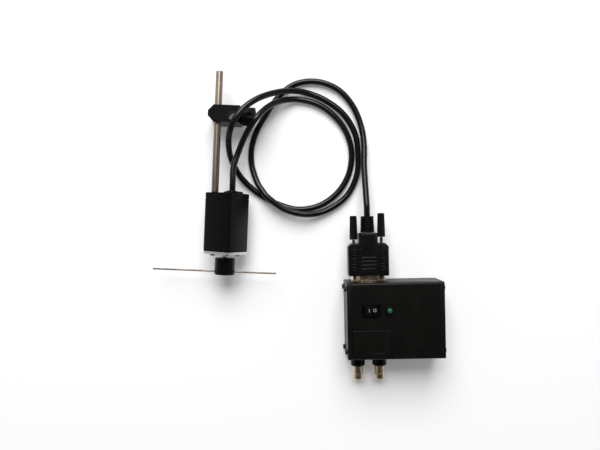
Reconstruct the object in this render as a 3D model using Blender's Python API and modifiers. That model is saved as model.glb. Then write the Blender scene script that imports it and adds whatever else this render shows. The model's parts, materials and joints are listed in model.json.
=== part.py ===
# Rotary motion sensor on a clamped support rod, plugged by its cable into a battery interface box.
# The set lies on a table top (Z = 0). Sizes are in millimetres and become metres where meshes are made.
import math

import bpy
import bmesh
from mathutils import Matrix, Vector

unit = 0.001            # one millimetre in metres
gap = 0.3               # clearance kept between neighbouring pieces
run_gap = 0.1           # radial clearance of a running fit

# ---- sensor: square housing lying on one long edge ----
cap_centre_x = -63.5    # centre of the cap's outer face
cap_centre_y = 30.0
lie_angle = -2.3        # turn of the sensor's axis from +Y, seen from above, degrees
roll_angle = 31.0       # roll of the square housing about its own axis, degrees
housing_width = 29.2
housing_corner = 2.5
cap_thick = 4.5
sleeve_length = 47.4
sleeve_wall = 1.5
base_thick = 2.2
port_offset = 8.1       # corner screw ports, from the axis along both sides
port_wall = 1.45
screw_radius = 1.25     # shank of the small machine screws
screw_hole = screw_radius + gap
screw_head_radius = 2.4
screw_head_height = 1.7
sensor_screw_length = 12.0

# ---- rotor ----
shaft_radius = 2.0
shaft_top_depth = 22.0  # depth of the shaft's inner end below the cap's face
bearing_radius = 6.5
bearing_width = 5.0
cartridge_wall = 0.8     # outside the bearings' pockets
cartridge_room = 1.0     # from the cartridge to the corner ports
cartridge_length = 18.0
disc_radius = 7.4
disc_thick = 0.8
disc_boss_radius = 4.0
disc_boss_height = 3.0
window_count = 8
hub_radius = 9.1
hub_length = 15.2
hub_drop = 3.5          # from the base plate to the hub
needle_radius = 0.75
needle_depth = 12.4     # from the hub's upper face to the needle's axis
needle_left = 64.6
needle_right = 46.7
needle_screw_radius = 1.5

# ---- support rod and clamp ----
rod_radius = 3.175
rod_length = 109.0
rod_spigot_depth = 14.0
clamp_start = 62.9      # along the rod, above the cap
clamp_width = 15.3      # along the rod
clamp_left = 8.3        # from the rod's axis
clamp_right = 20.2
clamp_above = 5.6       # body above the rod's axis
clamp_chamfer_x = 5.0
clamp_chamfer_y = 5.3
stand_bore_x = 12.6
stand_bore_radius = 5.25
lock_screw_radius = 2.0
stand_screw_radius = 2.5
stand_screw_drop = 7.4  # below the rod's axis
knob_radius = 8.5
knob_length = 12.5
knob_flutes = 10
knob_flute_depth = 0.8

# ---- cable, gland and plug ----
cable_radius = 2.8
gland_side = 5.0        # gland from the axis, towards the cap's right side
gland_radius = 5.9
gland_height = 2.1
gland_neck_radius = 4.0
plug_x = 63.27
plug_face_y = -44.02    # mating face of the hood
set_angle = 1.1         # turn of the plug and the box, seen from above, degrees
plug_height = 19.0      # centre of the connector above the table
hood_margin = 5.6        # hood outside the retaining screws' axes
hood_length = 29.1
hood_thick = 15.0
hood_shoulder = 3.0
neck_width = 16.8
neck_length = 9.3
relief_width = 12.8
relief_length = 14.7
shell_width = 19.4
shell_height = 10.6
shell_wall = 0.7
shell_corner = 2.2
shell_out = 3.6         # shell standing out of the hood
shell_in = 5.0          # shell inside the hood
screw_beyond = 2.8       # retaining screws' axes outside the shell
thumb_radius = 1.4
thumb_start = 32.4      # handle above the hood's mating face
thumb_handle_length = 21.5
thumb_handle_wide = 3.65
thumb_handle_narrow = 3.15
thumb_tip = -2.9
right_thumb_out = 2.1   # the right screw stands further out

# ---- interface box ----
plug_inset = 20.95       # from the box's left side to the plug's middle
box_face_gap = 5.0      # between the hood and the box
box_width = 85.3        # along X, end panels included
box_depth = 67.0
box_height = 38.0
box_wall = 2.6
box_corner = 1.6
panel_thick = 4.0
panel_screw_inset = 5.8
panel_screw_rise = 8.0
panel_screw_length = 6.2
box_port_half = 2.75
# places across the box are measured from its left side, places along it from its middle
door_right_inset = 38.3
door_length = 25.5
door_thick = 1.5
door_lip_thick = 2.0
door_lip_drop = 5.5
notch_inset, notch_y = 28.55, -24.6
notch_width, notch_length, notch_deep = 5.6, 6.6, 0.6
rocker_inset, rocker_y = 21.1, 9.8
bezel_width, bezel_depth, bezel_height = 16.5, 11.0, 1.5
well_width, well_depth, well_deep = 14.4, 8.8, 9.0
rocker_tilt = 10.0
rocker_wall = 1.0
rocker_side_wall = 0.6
led_inset, led_y = 36.9, 9.2
led_radius = 2.5
led_rise = 3.4
led_holder_radius = 4.0
led_wall = 0.6
bnc_insets = (11.1, 30.8)
bnc_height = 9.5
bnc_collar_radius = 6.5
bnc_collar_length = 11.0
bnc_radius = 4.8
bnc_length = 11.6
bnc_rear_radius = 4.0
lug_radius = 1.0
flange_margin = 2.9      # flange outside the retaining screws' axes
flange_height, flange_thick = 12.5, 0.8
jack_radius = 2.9       # across the hexagon's corners
jack_length = 3.0
board_thick = 1.6
board_end_room = 3.65    # from the board to the end panels
board_side_room = 0.95   # from the board to the screw ports
cell_radius = 7.8
cell_length = 27.0
cell_inset, cell_y = 20.85, -16.8

# ---- the cable's route, chosen by hand: (x, y, z) of its centre line ----
route = [
    (-58.2, 53.2, 20.2), (-54.2, 66.2, 18.8), (-49.0, 78.6, 20.2), (-42.9, 88.8, 24.2),
    (-37.2, 96.6, 25.9), (-30.2, 105.4, 20.4), (-21.6, 112.6, 13.0), (-10.6, 117.0, 6.4),
    (1.8, 117.8, 3.1), (19.8, 112.6, 3.1), (35.6, 100.6, 3.1), (45.8, 85.2, 3.1),
    (49.8, 67.2, 3.1), (46.8, 47.8, 3.1), (36.4, 31.0, 3.1), (20.0, 19.4, 3.1),
    (-0.2, 15.8, 3.1), (-20.6, 21.4, 3.1), (-38.4, 31.6, 3.1), (-51.4, 43.6, 4.2),
    (-58.8, 55.2, 7.6), (-62.2, 65.8, 13.6), (-62.4, 76.6, 21.4), (-59.8, 86.2, 29.7),
    (-54.6, 96.4, 31.5), (-46.4, 106.4, 29.4), (-35.2, 114.8, 24.4), (-22.0, 121.2, 16.4),
    (-6.8, 124.8, 9.0), (8.6, 123.8, 4.0), (25.8, 117.0, 3.1), (42.0, 104.6, 3.1),
    (52.6, 87.2, 3.1), (55.8, 67.2, 3.1), (54.6, 47.2, 3.1), (44.8, 27.8, 3.1),
    (26.4, 14.8, 4.2), (7.6, 11.0, 8.0), (-11.8, 15.4, 9.6), (-27.4, 26.4, 10.2), (-32.8, 33.0, 8.6),
    (-38.0, 41.2, 5.4), (-43.0, 56.6, 3.1), (-43.2, 72.8, 3.1), (-38.4, 88.6, 3.1),
    (-30.0, 103.6, 3.1), (-19.2, 119.4, 3.1), (-6.0, 130.6, 3.1), (9.0, 134.8, 3.1),
    (25.0, 133.0, 3.1), (39.8, 125.2, 3.1), (51.6, 110.8, 3.1), (58.6, 92.6, 4.2),
    (61.0, 74.8, 6.6), (60.6, 58.2, 9.8), (61.1, 41.8, 13.4), (61.7, 27.2, 16.8),
]
cable_step = 13.6       # spacing of the tube's rings along the cable

# ---- sizes that follow ----
housing_half = housing_width / 2
sleeve_top = -(cap_thick + gap)
sleeve_bottom = sleeve_top - sleeve_length
base_top = sleeve_bottom - gap
base_bottom = base_top - base_thick
hub_top = base_bottom - hub_drop
hub_bottom = hub_top - hub_length
needle_z = hub_top - needle_depth
shaft_bottom = needle_z + needle_radius + gap + 0.85
cavity_half = housing_half - sleeve_wall
port_block = port_offset - screw_hole - port_wall
cartridge_radius = bearing_radius + gap + cartridge_wall
pin_spacing = shell_width + 2 * screw_beyond
hood_width = pin_spacing + 2 * hood_margin
flange_width = pin_spacing + 2 * flange_margin
disc_top = -(shaft_top_depth + 4.8)
rod_base = gap
box_half_width = box_width / 2
box_half_depth = box_depth / 2
plug_across = plug_inset - box_half_width     # the plug's middle from the box's middle
door_right, notch_x, rocker_x, led_x, cell_x = (
    inset - box_half_width for inset in (door_right_inset, notch_inset, rocker_inset, led_inset, cell_inset))
bnc_x = [inset - box_half_width for inset in bnc_insets]
sleeve_half = box_half_width - panel_thick - gap
port_y = box_half_depth - panel_screw_inset
door_left = -(box_half_width - panel_thick) + 1.5 * gap
roll = math.radians(roll_angle)
axis_height = (housing_half - housing_corner) * (math.sin(roll) + math.cos(roll)) + housing_corner
rod_side = -port_offset * (math.sin(roll) + math.cos(roll))
rod_rise = port_offset * (math.cos(roll) - math.sin(roll))


# ---- materials and placing ----
def principled(name, colour, roughness, metallic=0.0):
    material = bpy.data.materials.new(name)
    material.use_nodes = True
    shader = material.node_tree.nodes["Principled BSDF"]
    shader.inputs["Base Color"].default_value = (*colour, 1.0)
    shader.inputs["Roughness"].default_value = roughness
    shader.inputs["Metallic"].default_value = metallic
    material.diffuse_color = (*colour, 1.0)
    return material


looks = {
    "black anodised": ((0.012, 0.012, 0.013), 0.45, 0.6),
    "black plastic": ((0.008, 0.008, 0.008), 0.5, 0.0),
    "box plastic": ((0.010, 0.010, 0.009), 0.42, 0.0),
    "cable jacket": ((0.010, 0.010, 0.010), 0.4, 0.0),
    "steel": ((0.42, 0.38, 0.34), 0.3, 1.0),
    "dark steel": ((0.05, 0.05, 0.05), 0.35, 1.0),
    "aluminium": ((0.55, 0.55, 0.56), 0.35, 1.0),
    "brass": ((0.60, 0.44, 0.26), 0.28, 1.0),
    "nickel": ((0.50, 0.46, 0.40), 0.25, 1.0),
    "board green": ((0.02, 0.12, 0.05), 0.5, 0.0),
    "cell wrap": ((0.10, 0.12, 0.16), 0.35, 0.3),
    "green lens": ((0.02, 0.20, 0.06), 0.15, 0.0),
}


def collection_named(name):
    collection = bpy.data.collections.new(name)
    bpy.context.scene.collection.children.link(collection)
    return collection


def new_frame(name, location, rotation=None, parent=None):
    """An empty that carries pieces; the location is in millimetres."""
    frame = bpy.data.objects.new(name, None)
    frame.empty_display_size = 0.01
    parts.objects.link(frame)
    frame.parent = parent
    frame.matrix_local = Matrix.Translation(Vector(location) * unit) @ (rotation or Matrix.Identity(4))
    return frame


facing = {
    "up": Matrix.Identity(4),
    "down": Matrix.Rotation(math.pi, 4, "X"),
    "right": Matrix.Rotation(math.pi / 2, 4, "Y"),
    "left": Matrix.Rotation(-math.pi / 2, 4, "Y"),
    "back": Matrix.Rotation(-math.pi / 2, 4, "X"),
    "front": Matrix.Rotation(math.pi / 2, 4, "X"),
    # outline (u, v) stands in the YZ plane and is drawn along +X
    "along x": Matrix(((0, 0, 1, 0), (1, 0, 0, 0), (0, 1, 0, 0), (0, 0, 0, 1))),
}


def add_object(name, mesh, look, frame, place, facing_name):
    obj = bpy.data.objects.new(name, mesh)
    group = cutters if look is None else parts
    group.objects.link(obj)
    obj.parent = frame
    obj.matrix_local = Matrix.Translation(Vector(place) * unit) @ facing[facing_name]
    if look is None:
        obj.hide_render = True
        obj.display_type = "WIRE"
    else:
        obj.data.materials.append(principled(name, *looks[look]))
    return obj


# ---- outlines ----
def arc(centre_x, centre_y, radius, start, end, steps):
    points = []
    for i in range(steps + 1):
        angle = math.radians(start + (end - start) * i / steps)
        points.append((centre_x + radius * math.cos(angle), centre_y + radius * math.sin(angle)))
    return points


def circle(radius, sides, centre_x=0.0, centre_y=0.0):
    return arc(centre_x, centre_y, radius, 0, 360, sides)[:-1]


def rounded(points, radius, steps=3):
    """The polygon with every corner turned into an arc of the given radius."""
    result = []
    for i, point in enumerate(points):
        corner = Vector(point)
        before = (Vector(points[i - 1]) - corner).normalized()
        after = (Vector(points[(i + 1) % len(points)]) - corner).normalized()
        half = before.angle(after) / 2
        centre = corner + (before + after).normalized() * radius / math.sin(half)
        start = corner + before * radius / math.tan(half) - centre
        end = corner + after * radius / math.tan(half) - centre
        for k in range(steps + 1):
            way = start.slerp(end, k / steps).normalized()
            result.append(tuple(centre + way * radius))
    return result


def rectangle(half_x, half_y, centre_x=0.0, centre_y=0.0):
    signs = ((1, -1), (1, 1), (-1, 1), (-1, -1))
    return [(centre_x + sx * half_x, centre_y + sy * half_y) for sx, sy in signs]


def d_outline(width, height, corner):
    slant = height * math.tan(math.radians(10))
    corners = [(width / 2 - slant, -height / 2), (width / 2, height / 2),
               (-width / 2, height / 2), (slant - width / 2, -height / 2)]
    return rounded(corners, corner)


# ---- solids ----
def prism(name, outlines, low, high, look, frame, place=(0, 0, 0), facing_name="up"):
    """A flat outline with holes, drawn from height low to high; it is filled in millimetres."""
    curve = bpy.data.curves.new(name, "CURVE")
    curve.dimensions = "2D"
    curve.fill_mode = "BOTH"
    curve.extrude = (high - low) / 2
    for outline in outlines:
        spline = curve.splines.new("POLY")
        spline.points.add(len(outline) - 1)
        for point, (x, y) in zip(spline.points, outline):
            point.co = (x, y, 0, 1)
        spline.use_cyclic_u = True
    holder = bpy.data.objects.new(name + "_outline", curve)
    bpy.context.scene.collection.objects.link(holder)
    bpy.context.view_layer.update()
    depsgraph = bpy.context.evaluated_depsgraph_get()
    mesh = bpy.data.meshes.new_from_object(holder.evaluated_get(depsgraph))
    bpy.data.objects.remove(holder)
    work = bmesh.new()
    work.from_mesh(mesh)
    bmesh.ops.remove_doubles(work, verts=work.verts, dist=0.001)
    bmesh.ops.recalc_face_normals(work, faces=work.faces)
    bmesh.ops.translate(work, verts=work.verts, vec=(0, 0, (low + high) / 2))
    bmesh.ops.scale(work, verts=work.verts, vec=(unit, unit, unit))
    work.to_mesh(mesh)
    work.free()
    return add_object(name, mesh, look, frame, place, facing_name)


def turned(name, profile, look, frame, place=(0, 0, 0), facing_name="up", sides=32, ring=False):
    """A turned piece: (radius, height) points that run down its outer side."""
    mesh = bpy.data.meshes.new(name)
    edges = [(i, i + 1) for i in range(len(profile) - 1)]
    if ring:
        edges.append((len(profile) - 1, 0))
    mesh.from_pydata([(r * unit, 0, z * unit) for r, z in profile], edges, [])
    obj = add_object(name, mesh, look, frame, place, facing_name)
    screw = obj.modifiers.new("turn", "SCREW")
    screw.steps = sides
    screw.render_steps = sides
    screw.use_merge_vertices = True
    screw.merge_threshold = 0.00001
    screw.use_smooth_shade = True
    return obj


def tube(name, outer, inner, low, high, look, frame, place=(0, 0, 0), facing_name="up", sides=32):
    profile = [(outer, high), (outer, low), (inner, low), (inner, high)]
    return turned(name, profile, look, frame, place, facing_name, sides, ring=True)


def block(name, low, high, look, frame, bevel=0.0):
    mesh = bpy.data.meshes.new(name)
    work = bmesh.new()
    bmesh.ops.create_cube(work, size=1.0)
    low, high = Vector(low) * unit, Vector(high) * unit
    for vert in work.verts:
        for k in range(3):
            vert.co[k] = low[k] + (vert.co[k] + 0.5) * (high[k] - low[k])
    work.to_mesh(mesh)
    work.free()
    obj = add_object(name, mesh, look, frame, (0, 0, 0), "up")
    if bevel:
        round_edges(obj, bevel)
    return obj


def round_edges(obj, width, segments=1):
    bevel = obj.modifiers.new("rounded edges", "BEVEL")
    bevel.width = width * unit
    bevel.segments = segments
    bevel.angle_limit = math.radians(50)


def cut(obj, cutter, operation="DIFFERENCE"):
    boolean = obj.modifiers.new("cut", "BOOLEAN")
    boolean.operation = operation
    boolean.solver = "EXACT"
    boolean.object = cutter


def drill(obj, name, radius, low, high, frame, place=(0, 0, 0), facing_name="up", sides=24):
    profile = [(0, high), (radius, high), (radius, low), (0, low)]
    cut(obj, turned(name, profile, None, frame, place, facing_name, sides))


def pan_screw(name, frame, place, length, facing_name="up"):
    """Head up, its underside a gap above the seat at the place; a hexagon socket drives it."""
    top = gap + screw_head_height
    profile = [(0, top), (screw_head_radius - 0.6, top), (screw_head_radius, top - 0.6),
               (screw_head_radius, gap), (screw_radius, gap), (screw_radius, gap - length),
               (0, gap - length)]
    screw = turned(name, profile, "dark steel", frame, place, facing_name, sides=12)
    drill(screw, name + "_socket", 1.1, top - 0.9, top + 1, frame, place, facing_name, sides=6)
    return screw


# ---- sensor housing ----
def housing_outline():
    return rounded(rectangle(housing_half, housing_half), housing_corner, steps=4)


def port_places():
    return [(sx * port_offset, sy * port_offset) for sx, sy in ((1, 1), (-1, 1), (-1, -1), (1, -1))]


def port_holes():
    return [circle(screw_hole, 12, x, y) for x, y in port_places()]


def cavity_outline():
    """The sleeve's hollow: a square whose corners are filled by the screw ports."""
    side, inner = cavity_half, port_block
    small = math.sqrt(2) * (cartridge_radius + cartridge_room) - port_block
    corner = [(side, inner), (small, inner), (inner, small), (inner, side)]
    points = []
    for turn in range(4):
        for x, y in corner:
            for _ in range(turn):
                x, y = -y, x
            points.append((x, y))
    return points


def make_housing():
    cap_outlines = [housing_outline(), circle(gland_neck_radius + gap, 24, 0, gland_side)]
    prism("sensor_cap", cap_outlines + port_holes(), -cap_thick, 0, "black anodised", sensor)
    prism("sensor_sleeve", [housing_outline(), cavity_outline()] + port_holes(),
          sleeve_bottom, sleeve_top, "black anodised", sensor)
    prism("base_plate", [housing_outline(), circle(shaft_radius + 1.0, 24)] + port_holes(),
          base_bottom, base_top, "aluminium", sensor)
    for number, (x, y) in enumerate(port_places()[:3], 1):
        pan_screw(f"cap_screw_{number}", sensor, (x, y, 0), sensor_screw_length)
    for number, (x, y) in enumerate(port_places(), 1):
        pan_screw(f"base_screw_{number}", sensor, (x, y, base_bottom), sensor_screw_length, "down")


def make_bearings():
    """Both ball bearings sit in pockets of a cartridge that stands on the base plate."""
    low = sleeve_bottom
    high = low + cartridge_length
    pocket = bearing_radius + gap
    step = bearing_width + 2 * gap
    waist = bearing_radius - 2.0
    profile = [(cartridge_radius, high), (cartridge_radius, low), (pocket, low), (pocket, low + step),
               (waist, low + step), (waist, high - step), (pocket, high - step), (pocket, high)]
    turned("bearing_cartridge", profile, "aluminium", sensor, sides=24, ring=True)
    for name, bottom in (("lower_bearing", low + gap), ("upper_bearing", high - gap - bearing_width)):
        tube(name, bearing_radius, shaft_radius + run_gap, bottom, bottom + bearing_width,
             "steel", sensor, sides=24)


def make_reader():
    """The circuit board on the housing's wall, with the fork that reads the disc."""
    board_back = cavity_half - gap
    board_front = board_back - 1.0
    half = port_block - gap
    disc_mid = disc_top - disc_thick / 2
    block("sensor_board", (board_front, -half, disc_mid - 18), (board_back, half, disc_mid + 16),
          "board green", sensor)
    inner = disc_boss_radius + 0.8
    back = board_front - gap
    slot_end = disc_radius + 0.8
    arm, slot = 3.8, 1.2
    fork = [(inner, -arm), (back, -arm), (back, arm), (inner, arm),
            (inner, slot), (slot_end, slot), (slot_end, -slot), (inner, -slot)]
    prism("optical_fork", [fork], -2.6, 2.6, "black plastic", sensor, (0, 0, disc_mid), "front")


def make_gland():
    top = gap + gland_height
    profile = [(0, top), (gland_radius - 0.7, top), (gland_radius, top - 0.7), (gland_radius, gap),
               (gland_neck_radius, gap), (gland_neck_radius, sleeve_top - 2), (0, sleeve_top - 2)]
    turned("cable_gland", profile, "black plastic", sensor, (0, gland_side, 0), sides=24)


# ---- rotor ----
def make_rotor():
    profile = [(0, -shaft_top_depth), (shaft_radius, -shaft_top_depth), (shaft_radius, shaft_bottom),
               (0, shaft_bottom)]
    turned("rotor_shaft", profile, "steel", rotor, sides=24)
    make_disc()
    make_hub()
    reach = [(0, needle_right), (needle_radius, needle_right), (needle_radius, -needle_left),
             (0, -needle_left)]
    turned("needle", reach, "steel", needle_frame, facing_name="right", sides=16)


def make_disc():
    """A thin disc and the boss that holds it on the shaft, with radial windows near the disc's rim."""
    bore = shaft_radius + gap
    low = disc_top - disc_thick
    profile = [(disc_radius, disc_top), (disc_radius, low), (disc_boss_radius, low),
               (disc_boss_radius, disc_top - disc_boss_height), (bore, disc_top - disc_boss_height),
               (bore, disc_top)]
    disc = turned("encoder_disc", profile, "dark steel", rotor, sides=24, ring=True)
    pitch = 360 / window_count
    windows = []
    for i in range(window_count):
        near = arc(0, 0, disc_radius - 2.4, i * pitch, i * pitch + pitch / 2, 1)
        far = arc(0, 0, disc_radius - 0.8, i * pitch + pitch / 2, i * pitch, 1)
        windows.append(near + far)
    cut(disc, prism("disc_windows", windows, low - 1, disc_top + 1, None, rotor))


def make_hub():
    bore = shaft_radius + gap
    edge = 0.6
    profile = [(bore, hub_top), (hub_radius - edge, hub_top), (hub_radius, hub_top - edge),
               (hub_radius, hub_bottom + edge), (hub_radius - edge, hub_bottom), (0, hub_bottom),
               (0, shaft_bottom - gap), (bore, shaft_bottom - gap)]
    hub = turned("hub", profile, "black plastic", rotor, sides=32, ring=True)
    drill(hub, "needle_bore", needle_radius + run_gap, -20, 20, needle_frame, facing_name="right")
    low = hub_bottom + 0.2
    high = needle_z - needle_radius - gap
    drill(hub, "needle_screw_bore", needle_screw_radius + gap, hub_bottom - 1, needle_z, rotor, sides=16)
    screw_profile = [(0, high), (needle_screw_radius, high), (needle_screw_radius, low), (0, low)]
    screw = turned("needle_screw", screw_profile, "dark steel", rotor, sides=16)
    drill(screw, "needle_screw_socket", 0.8, low - 1, low + 0.7, rotor, sides=6)


# ---- support rod and clamp ----
def make_rod():
    tip = 0.5
    profile = [(0, rod_length), (rod_radius - tip, rod_length), (rod_radius, rod_length - tip),
               (rod_radius, rod_base), (screw_radius, rod_base), (screw_radius, -rod_spigot_depth),
               (0, -rod_spigot_depth)]
    turned("support_rod", profile, "steel", rod_frame, sides=24)


def make_clamp():
    """A block whose two bores cross: one grips the sensor's rod, one a stand rod."""
    bottom = -(axis_height + rod_rise)
    half = clamp_width / 2
    outline = [(-clamp_left, half - clamp_chamfer_y), (-clamp_left, clamp_chamfer_y - half),
               (clamp_chamfer_x - clamp_left, -half), (clamp_right, -half), (clamp_right, half),
               (clamp_chamfer_x - clamp_left, half)]
    bore = circle(stand_bore_radius, 32, stand_bore_x, 0)
    body = prism("clamp_body", [outline, bore], bottom, clamp_above, "black anodised", clamp_frame)
    drill(body, "rod_bore", rod_radius + gap, -clamp_width, clamp_width, clamp_frame,
          facing_name="back", sides=24)
    drill(body, "lock_bore", lock_screw_radius + gap, -clamp_left - 2, 0, clamp_frame,
          facing_name="right", sides=16)
    drill(body, "stand_screw_bore", stand_screw_radius + gap, stand_bore_x, clamp_right + 2,
          clamp_frame, (0, 0, -stand_screw_drop), "right", sides=16)
    outer = clamp_left - 0.3
    inner = rod_radius + gap
    lock_profile = [(0, outer), (lock_screw_radius, outer), (lock_screw_radius, inner), (0, inner)]
    lock = turned("rod_lock_screw", lock_profile, "dark steel", clamp_frame, facing_name="left", sides=16)
    drill(lock, "rod_lock_socket", 1.2, outer - 1.8, outer + 1, clamp_frame, facing_name="left", sides=6)


def make_stand_knob():
    knob_base = clamp_right + gap
    flutes = []
    for i in range(knob_flutes * 4):
        angle = 2 * math.pi * i / (knob_flutes * 4)
        dip = knob_flute_depth * (0.5 - 0.5 * math.cos(knob_flutes * angle)) ** 2
        flutes.append(((knob_radius - dip) * math.cos(angle), (knob_radius - dip) * math.sin(angle)))
    knob = prism("stand_knob", [flutes], knob_base, knob_base + knob_length, "black plastic",
                 knob_frame, facing_name="along x")
    pocket = 6.0
    drill(knob, "knob_pocket", stand_screw_radius + gap, knob_base - 1, knob_base + pocket + gap,
          knob_frame, facing_name="right", sides=16)
    start = stand_bore_x + stand_bore_radius - 0.6
    end = knob_base + pocket
    profile = [(0, end), (stand_screw_radius, end), (stand_screw_radius, start + 0.5),
               (stand_screw_radius - 0.5, start), (0, start)]
    turned("stand_screw", profile, "steel", knob_frame, facing_name="right", sides=16)


# ---- plug on the cable ----
def make_plug():
    half, neck = hood_width / 2, neck_width / 2
    shoulder = hood_length - hood_shoulder
    top = hood_length + neck_length
    outline = [(half, 0), (half, shoulder), (half - hood_shoulder, hood_length), (neck, hood_length),
               (neck, top), (-neck, top), (-neck, hood_length), (hood_shoulder - half, hood_length),
               (-half, shoulder), (-half, 0)]
    hood = prism("plug_hood", [outline], -hood_thick / 2, hood_thick / 2, "black plastic", plug)
    round_edges(hood, 0.8)
    pocket = prism("shell_pocket", [d_outline(shell_width + 2 * gap, shell_height + 2 * gap, shell_corner + gap)],
                   -(shell_in + gap), 2, None, plug, facing_name="front")
    cut(hood, pocket)
    for side, name, _ in thumb_screws:
        place = (side * pin_spacing / 2, 0, 0)
        drill(hood, name + "_hole", thumb_radius + gap, -2, hood_length + 2, plug, place, "back", sides=16)
    shell = [d_outline(shell_width, shell_height, shell_corner),
             d_outline(shell_width - 2 * shell_wall, shell_height - 2 * shell_wall, shell_corner - shell_wall)]
    prism("plug_shell", shell, -shell_in, shell_out, "brass", plug, facing_name="front")
    make_strain_relief(top + gap)
    make_thumb_screws()


def make_strain_relief(start):
    """Five rounded segments that narrow towards the cable."""
    segments = 5
    profile = [(0, start + relief_length)]
    for i in range(segments, 0, -1):
        high = start + relief_length * i / segments
        low = start + relief_length * (i - 1) / segments
        wide = relief_width / 2 * (1.0 - 0.1 * (i - 1) / segments)
        profile += [(wide, high - 0.4), (wide, low + 0.9), (wide - 0.7, low + 0.4)]
    profile += [(relief_width / 2 - 0.7, start), (0, start)]
    turned("strain_relief", profile, "black plastic", plug, facing_name="back", sides=18)


def make_thumb_screws():
    for side, name, out in thumb_screws:
        start = thumb_start + out
        end = start + thumb_handle_length
        place = (side * pin_spacing / 2, 0, 0)
        profile = [(0, end), (thumb_handle_narrow - 0.6, end), (thumb_handle_narrow, end - 0.6),
                   (thumb_handle_wide, start + 0.5), (thumb_handle_wide - 0.5, start), (0, start)]
        turned(name + "_handle", profile, "black plastic", plug, place, "back", sides=20)
        tip = thumb_tip + out
        shank = [(0, start - gap), (thumb_radius, start - gap), (thumb_radius, tip + 0.4),
                 (thumb_radius - 0.4, tip), (0, tip)]
        turned(name + "_shank", shank, "steel", plug, place, "back", sides=16)


# ---- cable ----
def smooth_point(before, start, end, after, t):
    """A point on the Catmull-Rom curve that passes through start and end."""
    return 0.5 * (2 * start + (end - before) * t + (2 * before - 5 * start + 4 * end - after) * t ** 2
                  + (3 * start - before - 3 * end + after) * t ** 3)


def smooth_route(points, step):
    """Points at even spacing along the smooth curve through the route."""
    fine = []
    ends = [2 * points[0] - points[1]] + points + [2 * points[-1] - points[-2]]
    for i in range(1, len(ends) - 2):
        for k in range(20):
            fine.append(smooth_point(ends[i - 1], ends[i], ends[i + 1], ends[i + 2], k / 20))
    fine.append(points[-1])
    lengths = [0.0]
    for a, b in zip(fine, fine[1:]):
        lengths.append(lengths[-1] + (b - a).length)
    count = round(lengths[-1] / step)
    result, k = [], 0
    for i in range(count + 1):
        target = lengths[-1] * i / count
        while k < len(fine) - 2 and lengths[k + 1] < target:
            k += 1
        share = (target - lengths[k]) / (lengths[k + 1] - lengths[k])
        result.append(fine[k].lerp(fine[k + 1], share))
    return result


def cable_points():
    gland_top = gap + gland_height + gap
    start = [sensor.matrix_world @ (Vector((0, gland_side, z)) * unit) / unit for z in (gland_top, gland_top + 8)]
    plug_top = hood_length + neck_length + gap + relief_length + gap
    end = [plug.matrix_world @ (Vector((0, y, 0)) * unit) / unit for y in (plug_top + 8, plug_top)]
    return smooth_route(start + [Vector(point) for point in route] + end, cable_step)


def make_cable():
    points = cable_points()
    curve = bpy.data.curves.new("cable", "CURVE")
    curve.dimensions = "3D"
    curve.bevel_depth = cable_radius * unit
    curve.bevel_resolution = 2
    curve.use_fill_caps = True
    spline = curve.splines.new("POLY")
    spline.points.add(len(points) - 1)
    for point, place in zip(spline.points, points):
        point.co = (*(place * unit), 1)
    obj = bpy.data.objects.new("cable", curve)
    parts.objects.link(obj)
    curve.materials.append(principled("cable", *looks["cable jacket"]))


# ---- interface box ----
def box_ports():
    rises = (panel_screw_rise, box_height - panel_screw_rise)
    return [(side * port_y, rise) for rise in rises for side in (-1, 1)]


def box_cavity():
    """The hollow of the box sleeve in the YZ plane, with a block left in each corner for a screw."""
    y = box_half_depth - box_wall
    inner_y = port_y - box_port_half
    low, high = box_wall, box_height - box_wall
    low_step = panel_screw_rise + box_port_half
    high_step = box_height - low_step
    return [(y, low_step), (y, high_step), (inner_y, high_step), (inner_y, high),
            (-inner_y, high), (-inner_y, high_step), (-y, high_step), (-y, low_step),
            (-inner_y, low_step), (-inner_y, low), (inner_y, low), (inner_y, low_step)]


def box_outline():
    return rounded(rectangle(box_half_depth, box_height / 2, 0, box_height / 2), box_corner)


def make_box_shell():
    ports = [circle(screw_hole, 12, y, z) for y, z in box_ports()]
    sleeve = prism("box_sleeve", [box_outline(), box_cavity()] + ports, -sleeve_half, sleeve_half,
                   "box plastic", box, facing_name="along x")
    for side, name in ((-1, "left"), (1, "right")):
        inner = box_half_width - panel_thick
        low, high = sorted((side * inner, side * box_half_width))
        prism(f"end_panel_{name}", [box_outline()] + ports, low, high, "box plastic", box,
              facing_name="along x")
        for number, (y, z) in enumerate(box_ports(), 1):
            pan_screw(f"panel_screw_{name}_{number}", box, (side * box_half_width, y, z),
                      panel_screw_length, name)
    return sleeve


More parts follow.
